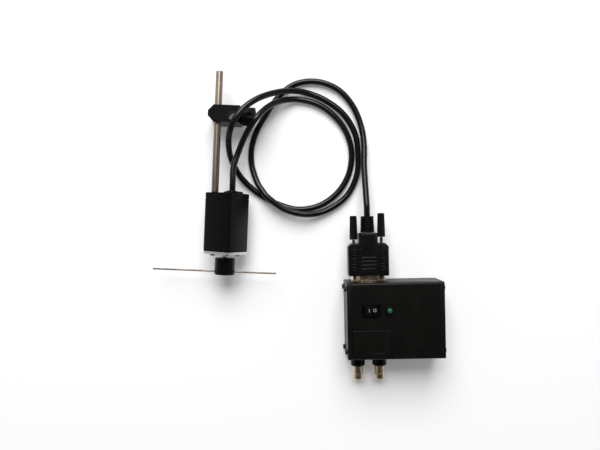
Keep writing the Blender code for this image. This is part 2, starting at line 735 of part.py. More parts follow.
def cut_box_openings(sleeve):
    face = box_half_depth
    top = box_height
    left, right = -box_half_width, door_right + gap
    door_end = -face + door_length
    under = top - door_thick - gap
    hatch_left = door_left + 1.6
    hatch_right = door_right - 1.6
    cut(sleeve, block("door_rebate", (left, -face - 2, under), (right, door_end + gap, top + 2), None, box))
    cut(sleeve, block("battery_hatch", (hatch_left, -face + box_wall + 0.4, top - box_wall - 9),
                      (hatch_right, door_end - 1.6, top), None, box))
    cut(sleeve, block("lip_notch", (left, -face - 2, top - door_lip_drop - gap),
                      (right, -face + box_wall + 0.5, top + 2), None, box))
    half_x = well_width / 2 + rocker_wall + gap
    half_y = well_depth / 2 + rocker_side_wall + gap
    cut(sleeve, block("rocker_cutout", (rocker_x - half_x, rocker_y - half_y, top - 6),
                      (rocker_x + half_x, rocker_y + half_y, top + 2), None, box))
    drill(sleeve, "led_hole", led_radius + led_wall + 2 * gap, top - 6, top + 2, box, (led_x, led_y, 0))
    for number, x in enumerate(bnc_x, 1):
        drill(sleeve, f"bnc_hole_{number}", bnc_rear_radius + gap, face - 12, face + 2, box,
              (x, 0, bnc_height), "front")
    socket_x = plug_across
    hole = d_outline(shell_width - 2 * shell_wall, shell_height - 2 * shell_wall, shell_corner - shell_wall)
    cut(sleeve, prism("socket_hole", [hole], -face - 2, -face + 8, None, box,
                      (socket_x, 0, plug_height), "front"))
    for side in (-1, 1):
        drill(sleeve, f"jack_hole_{side}", thumb_radius + gap, face - 8, face + 2, box,
              (socket_x + side * pin_spacing / 2, 0, plug_height), "back", sides=16)


def make_door():
    face, top = box_half_depth, box_height
    end = -face + door_length
    lip = -face + door_lip_thick
    low = top - door_lip_drop
    outer = arc(-face + box_corner, top - box_corner, box_corner, 90, 180, 3)
    outline = [(end, top - door_thick), (end, top)] + outer + [(-face, low), (lip, low), (lip, top - door_thick)]
    door = prism("battery_door", [outline], door_left, door_right, "box plastic", door_frame,
                 facing_name="along x")
    cut(door, block("door_notch", (notch_x - notch_width / 2, notch_y - notch_length / 2, top - notch_deep),
                    (notch_x + notch_width / 2, notch_y + notch_length / 2, top + 1), None, box))


def make_rocker():
    """A bezel with a closed well under it; the rocker tips about a pin across the well."""
    top = box_height + gap
    half_x, half_y = well_width / 2, well_depth / 2
    outer_x, outer_y = half_x + rocker_wall, half_y + rocker_side_wall
    frame = prism("rocker_frame", [rounded(rectangle(bezel_width / 2, bezel_depth / 2), 1.0)],
                  top, top + bezel_height, "black plastic", rocker_place)
    body = block("rocker_body", (-outer_x, -outer_y, top - well_deep), (outer_x, outer_y, top + 0.5),
                 None, rocker_place)
    cut(frame, body, "UNION")
    cut(frame, block("rocker_well", (-half_x, -half_y, top - well_deep + rocker_wall),
                     (half_x, half_y, top + bezel_height + 1), None, rocker_place))
    reach = half_x - 0.6
    outline = ([(reach, -0.6), (reach, 2.6), (0, 1.6), (-reach, 2.6), (-reach, -0.6)]
               + arc(0, 0, 3.4, 215, 325, 4))
    prism("rocker", [outline], -(half_y - gap), half_y - gap, "black plastic", rocker_axis,
          facing_name="front")


def make_led():
    top = box_height + gap
    bore = led_radius + gap
    profile = [(led_holder_radius - 0.4, top + 1.2), (led_holder_radius, top + 0.8),
               (led_holder_radius, top), (bore + led_wall, top), (bore + led_wall, top - 5), (bore, top - 5),
               (bore, top + 1.2)]
    turned("led_holder", profile, "black plastic", box, (led_x, led_y, 0), sides=20, ring=True)
    dome_base = top + led_rise - led_radius
    dome = [(led_radius * math.sin(math.radians(a)), dome_base + led_radius * math.cos(math.radians(a)))
            for a in (0, 25, 50, 72, 90)]
    turned("led_lens", dome + [(led_radius, top - 6), (0, top - 6)], "green lens", box,
           (led_x, led_y, 0), sides=20)


def make_bnc_sockets():
    """Bayonet sockets: an insulating collar, then the metal barrel with its insulator and two lugs."""
    face = box_half_depth
    for number, x in enumerate(bnc_x, 1):
        place = (x, 0, bnc_height)
        near, far = face + gap, face + gap + bnc_collar_length
        edge = 0.8
        collar = [(bnc_collar_radius - edge, far), (bnc_collar_radius, far - edge),
                  (bnc_collar_radius, near), (bnc_rear_radius + gap, near), (bnc_rear_radius + gap, far)]
        turned(f"bnc_collar_{number}", collar, "black plastic", box, place, "front", sides=24, ring=True)
        start = far + gap
        end = start + bnc_length
        wall, groove = 0.8, bnc_length - 3.0
        core = 2.4
        profile = [(0, end - 1.2), (core, end - 1.2), (core, end - groove), (bnc_radius - wall, end - groove),
                   (bnc_radius - wall, end), (bnc_radius - 0.2, end), (bnc_radius, end - 0.4),
                   (bnc_radius, start), (bnc_rear_radius, start), (bnc_rear_radius, face - 6),
                   (0, face - 6)]
        barrel = turned(f"bnc_barrel_{number}", profile, "nickel", box, place, "front", sides=24)
        lug_frame = new_frame(f"bnc_lugs_{number}", (x, -(end - 4.5), bnc_height), parent=box)
        lugs = [(0, bnc_radius + 0.9), (lug_radius, bnc_radius + 0.9), (lug_radius, bnc_radius - 0.5),
                (0, bnc_radius - 0.5)]
        for side in ("up", "down"):
            cut(barrel, turned(f"bnc_lug_{side}_{number}", lugs, None, lug_frame, (0, 0, 0), side, 12),
                "UNION")


def make_box_socket():
    """The female connector on the box: a flange plate, a block in the plug's shell, two jackscrews."""
    x = plug_across
    face = box_half_depth
    plate_low, plate_high = -(face + gap + flange_thick), -(face + gap)
    reach = face + gap + flange_thick + shell_out + 2 * gap + 1.2
    holes = [circle(thumb_radius + gap, 16, side * pin_spacing / 2, 0) for side in (-1, 1)]
    plate = prism("box_socket", [rounded(rectangle(flange_width / 2, flange_height / 2), 2.0)] + holes,
                  plate_low, plate_high, "brass", box, (x, 0, plug_height), "front")
    shrink = 2 * (shell_wall + gap)
    body = prism("socket_body", [d_outline(shell_width - shrink, shell_height - shrink, shell_corner - shell_wall)],
                 -reach, -(face - 2), None, box, (x, 0, plug_height), "front")
    cut(plate, body, "UNION")
    for side, name in ((-1, "left"), (1, "right")):
        place = (x + side * pin_spacing / 2, 0, plug_height)
        low = face + gap + flange_thick + gap
        high = low + jack_length
        hexagon = prism(f"jackscrew_{name}", [circle(jack_radius, 6), circle(thumb_radius + gap, 16)],
                        low + 0.2, high, "brass", box, place, "back")
        seat = low + 0.4
        stem = [(0, seat), (jack_radius - 0.45, seat), (jack_radius - 0.45, low), (thumb_radius, low),
                (thumb_radius, face - 5), (0, face - 5)]
        cut(hexagon, turned(f"jack_stem_{name}", stem, None, box, place, "back", sides=16), "UNION")


def make_box_inside():
    floor = box_wall + gap
    half_x = box_half_width - panel_thick - board_end_room
    half_y = port_y - box_port_half - board_side_room
    block("circuit_board", (-half_x, -half_y, floor), (half_x, half_y, floor + board_thick),
          "board green", box)
    cell_z = box_height - box_wall - 1.0 - cell_radius
    profile = [(0, cell_length / 2 + 1), (2.0, cell_length / 2 + 1), (2.0, cell_length / 2),
               (cell_radius, cell_length / 2), (cell_radius, -cell_length / 2), (0, -cell_length / 2)]
    turned("battery_cell", profile, "cell wrap", box, (cell_x, cell_y, cell_z), "right", sides=28)
    make_cell_holder(cell_z)


def make_cell_holder(cell_z):
    """A cradle under the cell that stands on the board."""
    floor = box_wall + 2 * gap + board_thick
    inner = cell_radius + gap
    outer = inner + 1.0
    hollow = arc(0, 0, inner, 180, 360, 12)
    low = floor - cell_z
    outline = [(outer, 0), (outer, -inner + 2), (4, low + 1.5), (4, low), (-4, low), (-4, low + 1.5),
               (-outer, -inner + 2), (-outer, 0)]
    half = cell_length / 2 + 1 + gap
    prism("cell_holder", [outline + hollow], -half, half, "black plastic", box,
          (cell_x, cell_y, cell_z), "along x")


# ---- the whole set ----
for old in list(bpy.data.objects):
    bpy.data.objects.remove(old, do_unlink=True)

parts = collection_named("rotary_motion_sensor")
cutters = collection_named("cutters")
thumb_screws = ((-1, "thumb_left", 0.0), (1, "thumb_right", right_thumb_out))

lie = Matrix.Rotation(math.radians(lie_angle), 4, "Z")
lay_frame = new_frame("lay_frame", (cap_centre_x, cap_centre_y, axis_height), lie)
sine, cosine = math.sin(roll), math.cos(roll)
rolled = Matrix(((-sine, cosine, 0, 0), (0, 0, 1, 0), (cosine, sine, 0, 0), (0, 0, 0, 1)))
sensor = new_frame("sensor_frame", (0, 0, 0), rolled, lay_frame)
rotor = new_frame("rotor_frame", (0, 0, 0), Matrix.Rotation(math.pi / 2 + roll, 4, "Z"), sensor)
needle_frame = new_frame("needle_frame", (0, 0, needle_z), parent=rotor)
rod_frame = new_frame("rod_frame", (port_offset, -port_offset, 0), parent=sensor)
clamp_place = (rod_side, clamp_start + clamp_width / 2, rod_rise)
clamp_frame = new_frame("clamp_frame", clamp_place, parent=lay_frame)
knob_frame = new_frame("knob_frame", (0, 0, -stand_screw_drop), parent=clamp_frame)
turned_set = Matrix.Rotation(math.radians(set_angle), 4, "Z")
plug = new_frame("plug_frame", (plug_x, plug_face_y, plug_height), turned_set)
box_place = (-plug_across, -(box_face_gap + box_half_depth), -plug_height)
box = new_frame("box_frame", box_place, parent=plug)
door_frame = new_frame("door_frame", (0, 0, 0), parent=box)
rocker_place = new_frame("rocker_place", (rocker_x, rocker_y, 0), parent=box)
rocker_axis = new_frame("rocker_axis", (0, 0, box_height - 0.4),
                        Matrix.Rotation(math.radians(rocker_tilt), 4, "Y"), rocker_place)
bpy.context.view_layer.update()

make_housing()
make_bearings()
make_reader()
make_gland()
make_rotor()
make_rod()
make_clamp()
make_stand_knob()
make_plug()
make_cable()
cut_box_openings(make_box_shell())
make_door()
make_rocker()
make_led()
make_bnc_sockets()
make_box_socket()
make_box_inside()
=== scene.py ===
import json
import math

import bmesh
import bpy
import numpy as np
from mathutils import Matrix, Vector


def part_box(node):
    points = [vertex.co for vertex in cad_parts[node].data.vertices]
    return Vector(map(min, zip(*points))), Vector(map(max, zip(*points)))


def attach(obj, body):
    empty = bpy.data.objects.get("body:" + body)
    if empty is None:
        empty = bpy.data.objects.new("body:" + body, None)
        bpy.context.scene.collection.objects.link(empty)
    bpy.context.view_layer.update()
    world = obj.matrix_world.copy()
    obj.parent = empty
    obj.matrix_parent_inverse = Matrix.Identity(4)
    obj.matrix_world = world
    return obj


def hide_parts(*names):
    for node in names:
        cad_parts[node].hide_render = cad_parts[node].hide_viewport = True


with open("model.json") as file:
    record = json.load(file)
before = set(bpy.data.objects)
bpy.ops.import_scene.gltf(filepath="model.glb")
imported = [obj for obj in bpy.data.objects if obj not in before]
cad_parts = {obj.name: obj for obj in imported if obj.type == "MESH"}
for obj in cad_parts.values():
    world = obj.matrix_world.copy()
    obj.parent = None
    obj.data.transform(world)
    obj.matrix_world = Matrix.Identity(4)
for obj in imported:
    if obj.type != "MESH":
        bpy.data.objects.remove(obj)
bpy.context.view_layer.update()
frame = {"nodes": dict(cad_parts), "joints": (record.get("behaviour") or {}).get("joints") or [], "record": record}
nodes = frame["nodes"]
joints = {joint["name"]: joint for joint in frame["joints"]}
bodyOf = {node: body for body, names in frame["record"]["behaviour"]["bodies"].items() for node in names}
slotOf = {part["node"]: part["material_slot"] for part in frame["record"]["subparts"]}
mm = 0.001
sharpAngle = 35     # degrees between faces above which an edge of a CAD solid stays crisp
turnedAngle = 38    # the same for the turned and drawn pieces
onAxis = 0.05       # radius in millimetres of the small ring that closes a turned shape on its axis
print("frame loaded:", len(nodes), "nodes")


def hexColor(text):
    # sRGB hex to linear: c/12.92 below 0.04045, else ((c + 0.055) / 1.055) ** 2.4
    channels = [int(text[i:i + 2], 16) / 255 for i in (1, 3, 5)]
    return [c / 12.92 if c <= 0.04045 else ((c + 0.055) / 1.055) ** 2.4 for c in channels] + [1.0]


def addNode(tree, kind, inputs=None, **settings):
    node = tree.nodes.new(kind)
    for name, value in settings.items():
        setattr(node, name, value)
    for name, value in (inputs or {}).items():
        if isinstance(value, bpy.types.NodeSocket):
            tree.links.new(value, node.inputs[name])
        else:
            node.inputs[name].default_value = value
    return node


def pointsOf(node):
    flat = np.zeros(len(nodes[node].data.vertices) * 3, np.float32)
    nodes[node].data.vertices.foreach_get("co", flat)
    return flat.reshape(-1, 3).astype(float)


def spanAlong(node, origin, axis):
    # lowest and highest distance of the node's points from origin, measured along axis
    reach = (pointsOf(node) - np.array(origin)) @ np.array(axis)
    return float(reach.min()), float(reach.max())


def reachAround(node, origin, axis):
    # each point's distance along the axis and away from it
    away = pointsOf(node) - np.array(origin)
    along = away @ np.array(axis)
    return along, np.linalg.norm(away - along[:, None] * np.array(axis), axis=1)


def middleOf(node):
    low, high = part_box(node)
    return (low + high) / 2


def unit(vector):
    vector = np.array(vector, float)
    return vector / np.linalg.norm(vector)


def newFinish(name, surface):
    # a Principled material that starts from the constants in the surface's settings
    material = bpy.data.materials.new(name)
    material.use_nodes = True
    shader = material.node_tree.nodes["Principled BSDF"]
    shader.inputs["Base Color"].default_value = hexColor(surface["color"])
    shader.inputs["Roughness"].default_value = surface["roughness"]
    for socket in ("Metallic", "IOR", "Specular IOR Level"):
        if socket in surface:
            shader.inputs[socket].default_value = surface[socket]
    return material, material.node_tree, shader


noiseShape = {"low": 0.3, "high": 0.7, "detail": 3.0, "grainRoughness": 0.6, "cloudRoughness": 0.55}


def grainyFinish(name, surface):
    # two tones drift over "cloud" millimetres; gloss and a shallow relief follow a grain of "grain" millimetres,
    # which a drawn or brushed surface stretches along its own direction
    material, tree, shader = newFinish(name, surface)
    noise = {"Detail": noiseShape["detail"]}
    spread = {"From Min": noiseShape["low"], "From Max": noiseShape["high"]}
    place = addNode(tree, "ShaderNodeTexCoord").outputs["Object"]
    if "stretch" in surface:
        place = addNode(tree, "ShaderNodeMapping", {"Vector": place, "Scale": surface["stretch"],
                                                    "Rotation": surface.get("turn", (0, 0, 0))},
                        vector_type="TEXTURE").outputs["Vector"]
    grain = addNode(tree, "ShaderNodeTexNoise", {"Vector": place, "Scale": 1 / (surface["grain"] * mm),
                                                 "Roughness": noiseShape["grainRoughness"], **noise}).outputs["Fac"]
    cloud = addNode(tree, "ShaderNodeTexNoise", {"Vector": place, "Scale": 1 / (surface["cloud"] * mm),
                                                 "Roughness": noiseShape["cloudRoughness"], **noise}).outputs["Fac"]
    spreadCloud = addNode(tree, "ShaderNodeMapRange", {"Value": cloud, **spread})
    tone = addNode(tree, "ShaderNodeMix", {0: spreadCloud.outputs["Result"], 6: hexColor(surface["color"]),
                                           7: hexColor(surface["other"])}, data_type="RGBA").outputs[2]
    tree.links.new(tone, shader.inputs["Base Color"])
    gloss = addNode(tree, "ShaderNodeMapRange", {"Value": grain, **spread,
                                                 "To Min": surface["roughness"] - surface["glossSpread"],
                                                 "To Max": surface["roughness"] + surface["glossSpread"]})
    tree.links.new(gloss.outputs["Result"], shader.inputs["Roughness"])
    bump = addNode(tree, "ShaderNodeBump", {"Height": grain, "Strength": surface["bump"],
                                            "Distance": surface["depth"] * mm})
    tree.links.new(bump.outputs["Normal"], shader.inputs["Normal"])
    return material


sensorAxis = unit(joints["rotor_spin"]["axis"])     # from the hub towards the cable
alongSensor = (0, 0, -math.atan2(sensorAxis[0], sensorAxis[1]))
plugAxis = unit(joints["thumb_left_turn"]["axis"])  # from the box towards the cable
plugSide = np.cross(plugAxis, (0, 0, 1))            # towards the plug's right side
thumbPlaces = [np.array(joints[name]["pos_m"]) for name in ("thumb_left_turn", "thumb_right_turn")]
plugOrigin = sum(thumbPlaces) / 2
plugOrigin = plugOrigin + plugAxis * spanAlong("plug_hood", plugOrigin, plugAxis)[0]     # middle of the mating face
alongPlug = (0, 0, -math.atan2(plugAxis[0], plugAxis[1]))

surfaces = {
    # bead-blasted, black-anodised aluminium: soft metallic sheen; grit of 0.1 mm, drawn at 0.35 so that it shows
    "blackAnodised": {"color": "#09090b", "other": "#0e0e10", "roughness": 0.34, "Metallic": 0.2,
                      "Specular IOR Level": 0.12, "grain": 0.35, "cloud": 7, "bump": 0.3, "depth": 0.04,
                      "glossSpread": 0.07},
    # moulded ABS with a spark-eroded texture of about 0.3 mm, drawn at 0.45: dull, faintly olive
    "mouldedAbs": {"color": "#090908", "other": "#10100d", "roughness": 0.4, "IOR": 1.54, "Specular IOR Level": 0.15,
                   "grain": 0.45, "cloud": 11, "bump": 0.4, "depth": 0.05, "glossSpread": 0.06},
    # the same ABS, a little paler and browner: a painted highlight on the rounded edges of the end panels
    "edgeHighlightAbs": {"color": "#221f1a", "other": "#181613", "roughness": 0.42, "IOR": 1.54, "Specular IOR Level": 0.3,
                  "grain": 0.6, "cloud": 6, "bump": 0.15, "depth": 0.03, "glossSpread": 0.06},
    # smooth moulded nylon of the hub, the knob and small fittings: half gloss
    "mouldedNylon": {"color": "#060607", "other": "#0b0b0d", "roughness": 0.3, "IOR": 1.53,
                     "Specular IOR Level": 0.15, "grain": 0.8, "cloud": 5, "bump": 0.15, "depth": 0.03,
                     "glossSpread": 0.05},
    # soft PVC moulded over the plug: satin, slightly uneven from the mould
    "overmouldedPvc": {"color": "#060606", "other": "#0c0c0b", "roughness": 0.34, "IOR": 1.53,
                       "Specular IOR Level": 0.2, "grain": 0.9, "cloud": 4, "bump": 0.25, "depth": 0.05,
                       "glossSpread": 0.06},
    # extruded PVC jacket: satin gloss with a clear highlight along it
    "jacketPvc": {"color": "#070707", "other": "#0d0d0c", "roughness": 0.24, "IOR": 1.53,
                  "Specular IOR Level": 0.3, "grain": 1.1, "cloud": 12, "bump": 0.15, "depth": 0.05,
                  "glossSpread": 0.05},
    # centreless-ground stainless bar: warm grey; the dark and light streaks about 0.5 mm wide that run along it are
    # partly grinding marks and partly painted reflection
    "groundStainless": {"color": "#b9ab9b", "other": "#5a5147", "roughness": 0.45, "Metallic": 1.0, "grain": 0.35,
                        "cloud": 1.1, "stretch": (1, 40, 1), "turn": alongSensor, "bump": 0.3, "depth": 0.02,
                        "glossSpread": 0.07},
    # turned bright steel of the needle and the shafts
    "turnedSteel": {"color": "#8f8377", "other": "#5d544b", "roughness": 0.34, "Metallic": 1.0, "grain": 0.4,
                    "cloud": 2, "bump": 0.15, "depth": 0.02, "glossSpread": 0.06},
    # zinc-plated screws of the end plate: pale and bright
    "brightZinc": {"color": "#b9bbbd", "other": "#8b8d90", "roughness": 0.3, "Metallic": 1.0, "grain": 0.4,
                   "cloud": 1.5, "bump": 0.12, "depth": 0.02, "glossSpread": 0.06},
    # aluminium plate, brushed across: bright and silky
    "brushedAluminium": {"color": "#f0eeea", "other": "#cdcac4", "roughness": 0.4, "Metallic": 1.0, "grain": 0.25,
                         "cloud": 0.9, "stretch": (25, 1, 1), "turn": alongSensor, "bump": 0.25, "depth": 0.02,
                         "glossSpread": 0.07},
    # black-oxide steel screws: oily dark grey
    "blackOxide": {"color": "#222223", "other": "#312f2d", "roughness": 0.38, "Metallic": 0.9, "grain": 0.4,
                   "cloud": 1.5, "bump": 0.15, "depth": 0.02, "glossSpread": 0.06},
    # worn gold flash over nickel on the connector: pale where it is thick, with brown streaks along the plug
    "goldFlash": {"color": "#ffeccf", "other": "#6b4623", "roughness": 0.2, "Metallic": 1.0, "grain": 0.5,
                  "cloud": 1.5, "stretch": (1, 9, 4), "turn": alongPlug, "bump": 0.1, "depth": 0.02,
                  "glossSpread": 0.05},
    # nickel over brass, handled until it turns warm
    "wornNickel": {"color": "#ece0c8", "other": "#bcaa86", "roughness": 0.16, "Metallic": 1.0, "grain": 0.5,
                   "cloud": 4, "bump": 0.1, "depth": 0.02, "glossSpread": 0.05},
    # dull olive grey on the wall of the clamp's bore: painted shade standing for the table in deep shadow under the
    # bore
    "paintedBoreShade": {"color": "#5a5342", "other": "#332e24", "roughness": 0.5, "Metallic": 0.6, "grain": 0.5,
                 "cloud": 3, "bump": 0.3, "depth": 0.04, "glossSpread": 0.08},
    # dyed cast epoxy of the lamp: deep green, glossy
    "greenEpoxy": {"color": "#14603f", "other": "#0e4a31", "roughness": 0.22, "IOR": 1.52,
                   "Specular IOR Level": 0.4, "grain": 1, "cloud": 1.5, "bump": 0.02, "depth": 0.01,
                   "glossSpread": 0.03},
    # pad-printed white ink on the switch: flat, a little worn
    "padInk": {"color": "#b4b4af", "other": "#8f8f8a", "roughness": 0.6, "grain": 0.3, "cloud": 0.8, "bump": 0.1,
               "depth": 0.01, "glossSpread": 0.05},
    # glass-filled board under green solder mask
    "solderMask": {"color": "#114a2a", "other": "#0d3a20", "roughness": 0.4, "IOR": 1.55, "grain": 0.6,
                   "cloud": 3, "bump": 0.2, "depth": 0.03, "glossSpread": 0.06},
    # shrink wrap of the cell: smooth film
    "shrinkWrap": {"color": "#2b3340", "other": "#222a35", "roughness": 0.3, "IOR": 1.55, "grain": 0.8,
                   "cloud": 5, "bump": 0.05, "depth": 0.02, "glossSpread": 0.05},
    # pressed PTFE insulator: milky and dull
    "pressedPtfe": {"color": "#cfc8b8", "other": "#b9b2a2", "roughness": 0.5, "IOR": 1.38, "grain": 0.5,
                    "cloud": 1.5, "bump": 0.1, "depth": 0.02, "glossSpread": 0.05},
}
finishes = {name: grainyFinish(name, surface) for name, surface in surfaces.items()}
finishOfSlot = {
    "black_anodised": "blackAnodised", "aluminium_plate": "brushedAluminium", "screw_steel": "blackOxide",
    "bright_steel": "turnedSteel", "circuit_board": "solderMask", "black_plastic": "mouldedNylon",
    "cable_jacket": "jacketPvc", "brass_plating": "goldFlash", "box_plastic": "mouldedAbs",
    "battery_wrap": "shrinkWrap", "green_lens": "greenEpoxy", "nickel_plating": "wornNickel",
}
print("finishes made:", len(finishes))

# lengths in metres, except the lens in millimetres; the shift is a part of the picture's width
studio = {"height": 0.538, "lens": 34.5, "sensor": 36.0, "nearest": 0.01, "axisX": 0.0018, "axisY": 0.005,
          "shift": -1 / 150, "lampPlace": (-0.15, 1.85, 1.95), "lampPower": 92.0, "lampSize": 2.0, "skyTop": 0.05,
          "skySide": 0.55, "skyReach": 0.9, "tableHalf": 4, "tableColor": "#f8f8f8", "tableLift": 0.15}


def makeStudio():
    scene = bpy.context.scene
    camera = bpy.data.objects.new("camera", bpy.data.cameras.new("camera"))
    camera.data.lens = studio["lens"]
    camera.data.sensor_width = studio["sensor"]
    camera.data.shift_y = studio["shift"]
    camera.data.clip_start = studio["nearest"]
    camera.location = (studio["axisX"], studio["axisY"], studio["height"])
    scene.collection.objects.link(camera)
    scene.camera = camera
    lamp = bpy.data.objects.new("window", bpy.data.lights.new("window", "AREA"))
    lamp.data.energy = studio["lampPower"]
    lamp.data.size = studio["lampSize"]
    lamp.location = studio["lampPlace"]
    lamp.rotation_euler = Vector(studio["lampPlace"]).to_track_quat("Z", "Y").to_euler()
    scene.collection.objects.link(lamp)
    world = bpy.data.worlds.new("softRoom")
    world.use_nodes = True
    # a dim ceiling over pale walls: strength falls from the horizon to straight up
    place = addNode(world.node_tree, "ShaderNodeTexCoord").outputs["Generated"]
    upward = addNode(world.node_tree, "ShaderNodeSeparateXYZ", {"Vector": place}).outputs["Z"]
    sky = addNode(world.node_tree, "ShaderNodeMapRange", {"Value": upward, "From Max": studio["skyReach"],
                                                          "To Min": studio["skySide"], "To Max": studio["skyTop"]})
    background = world.node_tree.nodes["Background"]
    background.inputs["Color"].default_value = (1, 1, 1, 1)
    world.node_tree.links.new(sky.outputs["Result"], background.inputs["Strength"])
    scene.world = world
    scene.view_settings.view_transform = "Standard"
    makeTable(scene)


def makeTable(scene):
    # a flat pale sheet; what the camera and shiny things see of it is lifted towards white, its shadows stay
    mesh = bpy.data.meshes.new("table")
    half = studio["tableHalf"]
    mesh.from_pydata([(-half, -half, 0), (half, -half, 0), (half, half, 0), (-half, half, 0)], [], [(0, 1, 2, 3)])
    table = bpy.data.objects.new("table", mesh)
    scene.collection.objects.link(table)
    material = bpy.data.materials.new("paintedTable")
    material.use_nodes = True
    tree = material.node_tree
    tree.nodes.clear()
    paint = addNode(tree, "ShaderNodeBsdfDiffuse", {"Color": hexColor(studio["tableColor"])})
    path = addNode(tree, "ShaderNodeLightPath").outputs
    seen = addNode(tree, "ShaderNodeMath", {0: path["Is Camera Ray"], 1: path["Is Glossy Ray"]}, operation="MAXIMUM")
    seenThrough = addNode(tree, "ShaderNodeMath", {0: seen.outputs[0], 1: path["Is Transmission Ray"]},
                          operation="MAXIMUM")
    lift = addNode(tree, "ShaderNodeMath", {0: seenThrough.outputs[0], 1: studio["tableLift"]},
                   operation="MULTIPLY")
    glow = addNode(tree, "ShaderNodeEmission", {"Strength": lift.outputs[0]})
    both = addNode(tree, "ShaderNodeAddShader", {0: paint.outputs[0], 1: glow.outputs[0]})
    addNode(tree, "ShaderNodeOutputMaterial", {"Surface": both.outputs[0]})
    mesh.materials.append(material)


makeStudio()
print("camera, lamp and table placed")

# the cord runs straight for "lead" at both ends and reaches "into" the gland and the strain relief
cableShape = {"radius": 2.8 * mm, "step": 2.0 * mm, "length": 0.977, "into": 1.2 * mm, "lead": 8 * mm, "sides": 6,
              "spanSteps": 24}
cableRoute = [
    (-58.2, 53.2, 20.2), (-54.2, 66.2, 18.8), (-49.0, 78.6, 20.2), (-42.9, 88.8, 24.2),
    (-37.2, 96.6, 25.9), (-30.2, 105.4, 20.4), (-21.6, 112.6, 13.0), (-10.6, 117.0, 6.4),
    (1.8, 117.8, 3.1), (19.8, 112.6, 3.1), (35.6, 100.6, 3.1), (45.8, 85.2, 3.1),
    (49.8, 67.2, 3.1), (46.8, 47.8, 3.1), (36.4, 31.0, 3.1), (20.0, 19.4, 3.1),
    (-0.2, 15.8, 3.1), (-20.6, 21.4, 3.1), (-38.4, 31.6, 3.1), (-51.4, 43.6, 4.2),
    (-58.8, 55.2, 7.6), (-62.2, 65.8, 13.6), (-62.4, 76.6, 21.4), (-59.8, 86.2, 29.7),
    (-54.6, 96.4, 31.5), (-46.4, 106.4, 29.4), (-35.2, 114.8, 24.4), (-22.0, 121.2, 16.4),
    (-6.8, 124.8, 9.0), (8.6, 123.8, 4.0), (25.8, 117.0, 3.1), (42.0, 104.6, 3.1),
    (52.6, 87.2, 3.1), (55.8, 67.2, 3.1), (54.6, 47.2, 3.1), (44.8, 27.8, 3.1),
    (26.4, 14.8, 4.2), (7.6, 11.0, 8.0), (-11.8, 15.4, 9.6), (-27.4, 26.4, 10.2), (-32.8, 33.0, 8.6),
    (-38.0, 41.2, 5.4), (-43.0, 56.6, 3.1), (-43.2, 72.8, 3.1), (-38.4, 88.6, 3.1),
    (-30.0, 103.6, 3.1), (-19.2, 119.4, 3.1), (-6.0, 130.6, 3.1), (9.0, 134.8, 3.1),
    (25.0, 133.0, 3.1), (39.8, 125.2, 3.1), (51.6, 110.8, 3.1), (58.6, 92.6, 4.2),
    (61.0, 74.8, 6.6), (60.6, 58.2, 9.8), (61.1, 41.8, 13.4), (61.7, 27.2, 16.8),
]


def smoothLine(points, step):
    # Catmull-Rom through the points, read at even spacing along its length
    ends = np.vstack([2 * points[0] - points[1], points, 2 * points[-1] - points[-2]])
    p0, p1, p2, p3 = ends[:-3], ends[1:-2], ends[2:-1], ends[3:]
    t = np.linspace(0, 1, cableShape["spanSteps"], endpoint=False)[None, :, None]
    p0, p1, p2, p3 = (p[:, None, :] for p in (p0, p1, p2, p3))
    curve = 0.5 * (2 * p1 + (p2 - p0) * t + (2 * p0 - 5 * p1 + 4 * p2 - p3) * t ** 2
                   + (3 * p1 - p0 - 3 * p2 + p3) * t ** 3)
    curve = np.vstack([curve.reshape(-1, 3), points[-1]])
    along = np.concatenate([[0], np.cumsum(np.linalg.norm(np.diff(curve, axis=0), axis=1))])
    wanted = np.linspace(0, along[-1], round(along[-1] / step) + 1)
    return np.stack([np.interp(wanted, along, curve[:, k]) for k in range(3)], axis=1)


def makeCable():
    gland = middleOf("cable_gland")
    reach = spanAlong("cable_gland", gland, sensorAxis)[1]
    start = np.array(gland) + sensorAxis * reach
    end = plugOrigin + plugAxis * spanAlong("strain_relief", plugOrigin, plugAxis)[1]
    inner = start - sensorAxis * cableShape["into"]
    route = np.vstack([inner, start + sensorAxis * cableShape["lead"], np.array(cableRoute) * mm,
                       end + plugAxis * cableShape["lead"], end - plugAxis * cableShape["into"]])
    line = smoothLine(route, cableShape["step"])
    curve = bpy.data.curves.new("cableJacket", "CURVE")
    curve.dimensions = "3D"
    curve.bevel_depth = cableShape["radius"]
    curve.bevel_resolution = cableShape["sides"]
    curve.use_fill_caps = True
    spline = curve.splines.new("POLY")
    spline.points.add(len(line) - 1)
    spline.points.foreach_set("co", np.hstack([line, np.ones((len(line), 1))]).ravel())
    cable = bpy.data.objects.new("cableJacket", curve)
    bpy.context.scene.collection.objects.link(cable)
    curve.materials.append(finishes["jacketPvc"])
    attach(cable, "housing")
    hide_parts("cable")
    return cable, inner


cable, cableInner = makeCable()
print("cable laid")


def addPiece(name, mesh, body, finish, replaced=()):
    # a finished piece at the origin that rides a body
    if finish:
        mesh.materials.append(finishes[finish])
    piece = bpy.data.objects.new(name, mesh)
    bpy.context.scene.collection.objects.link(piece)
    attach(piece, body)
    if replaced:
        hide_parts(*replaced)
    return piece


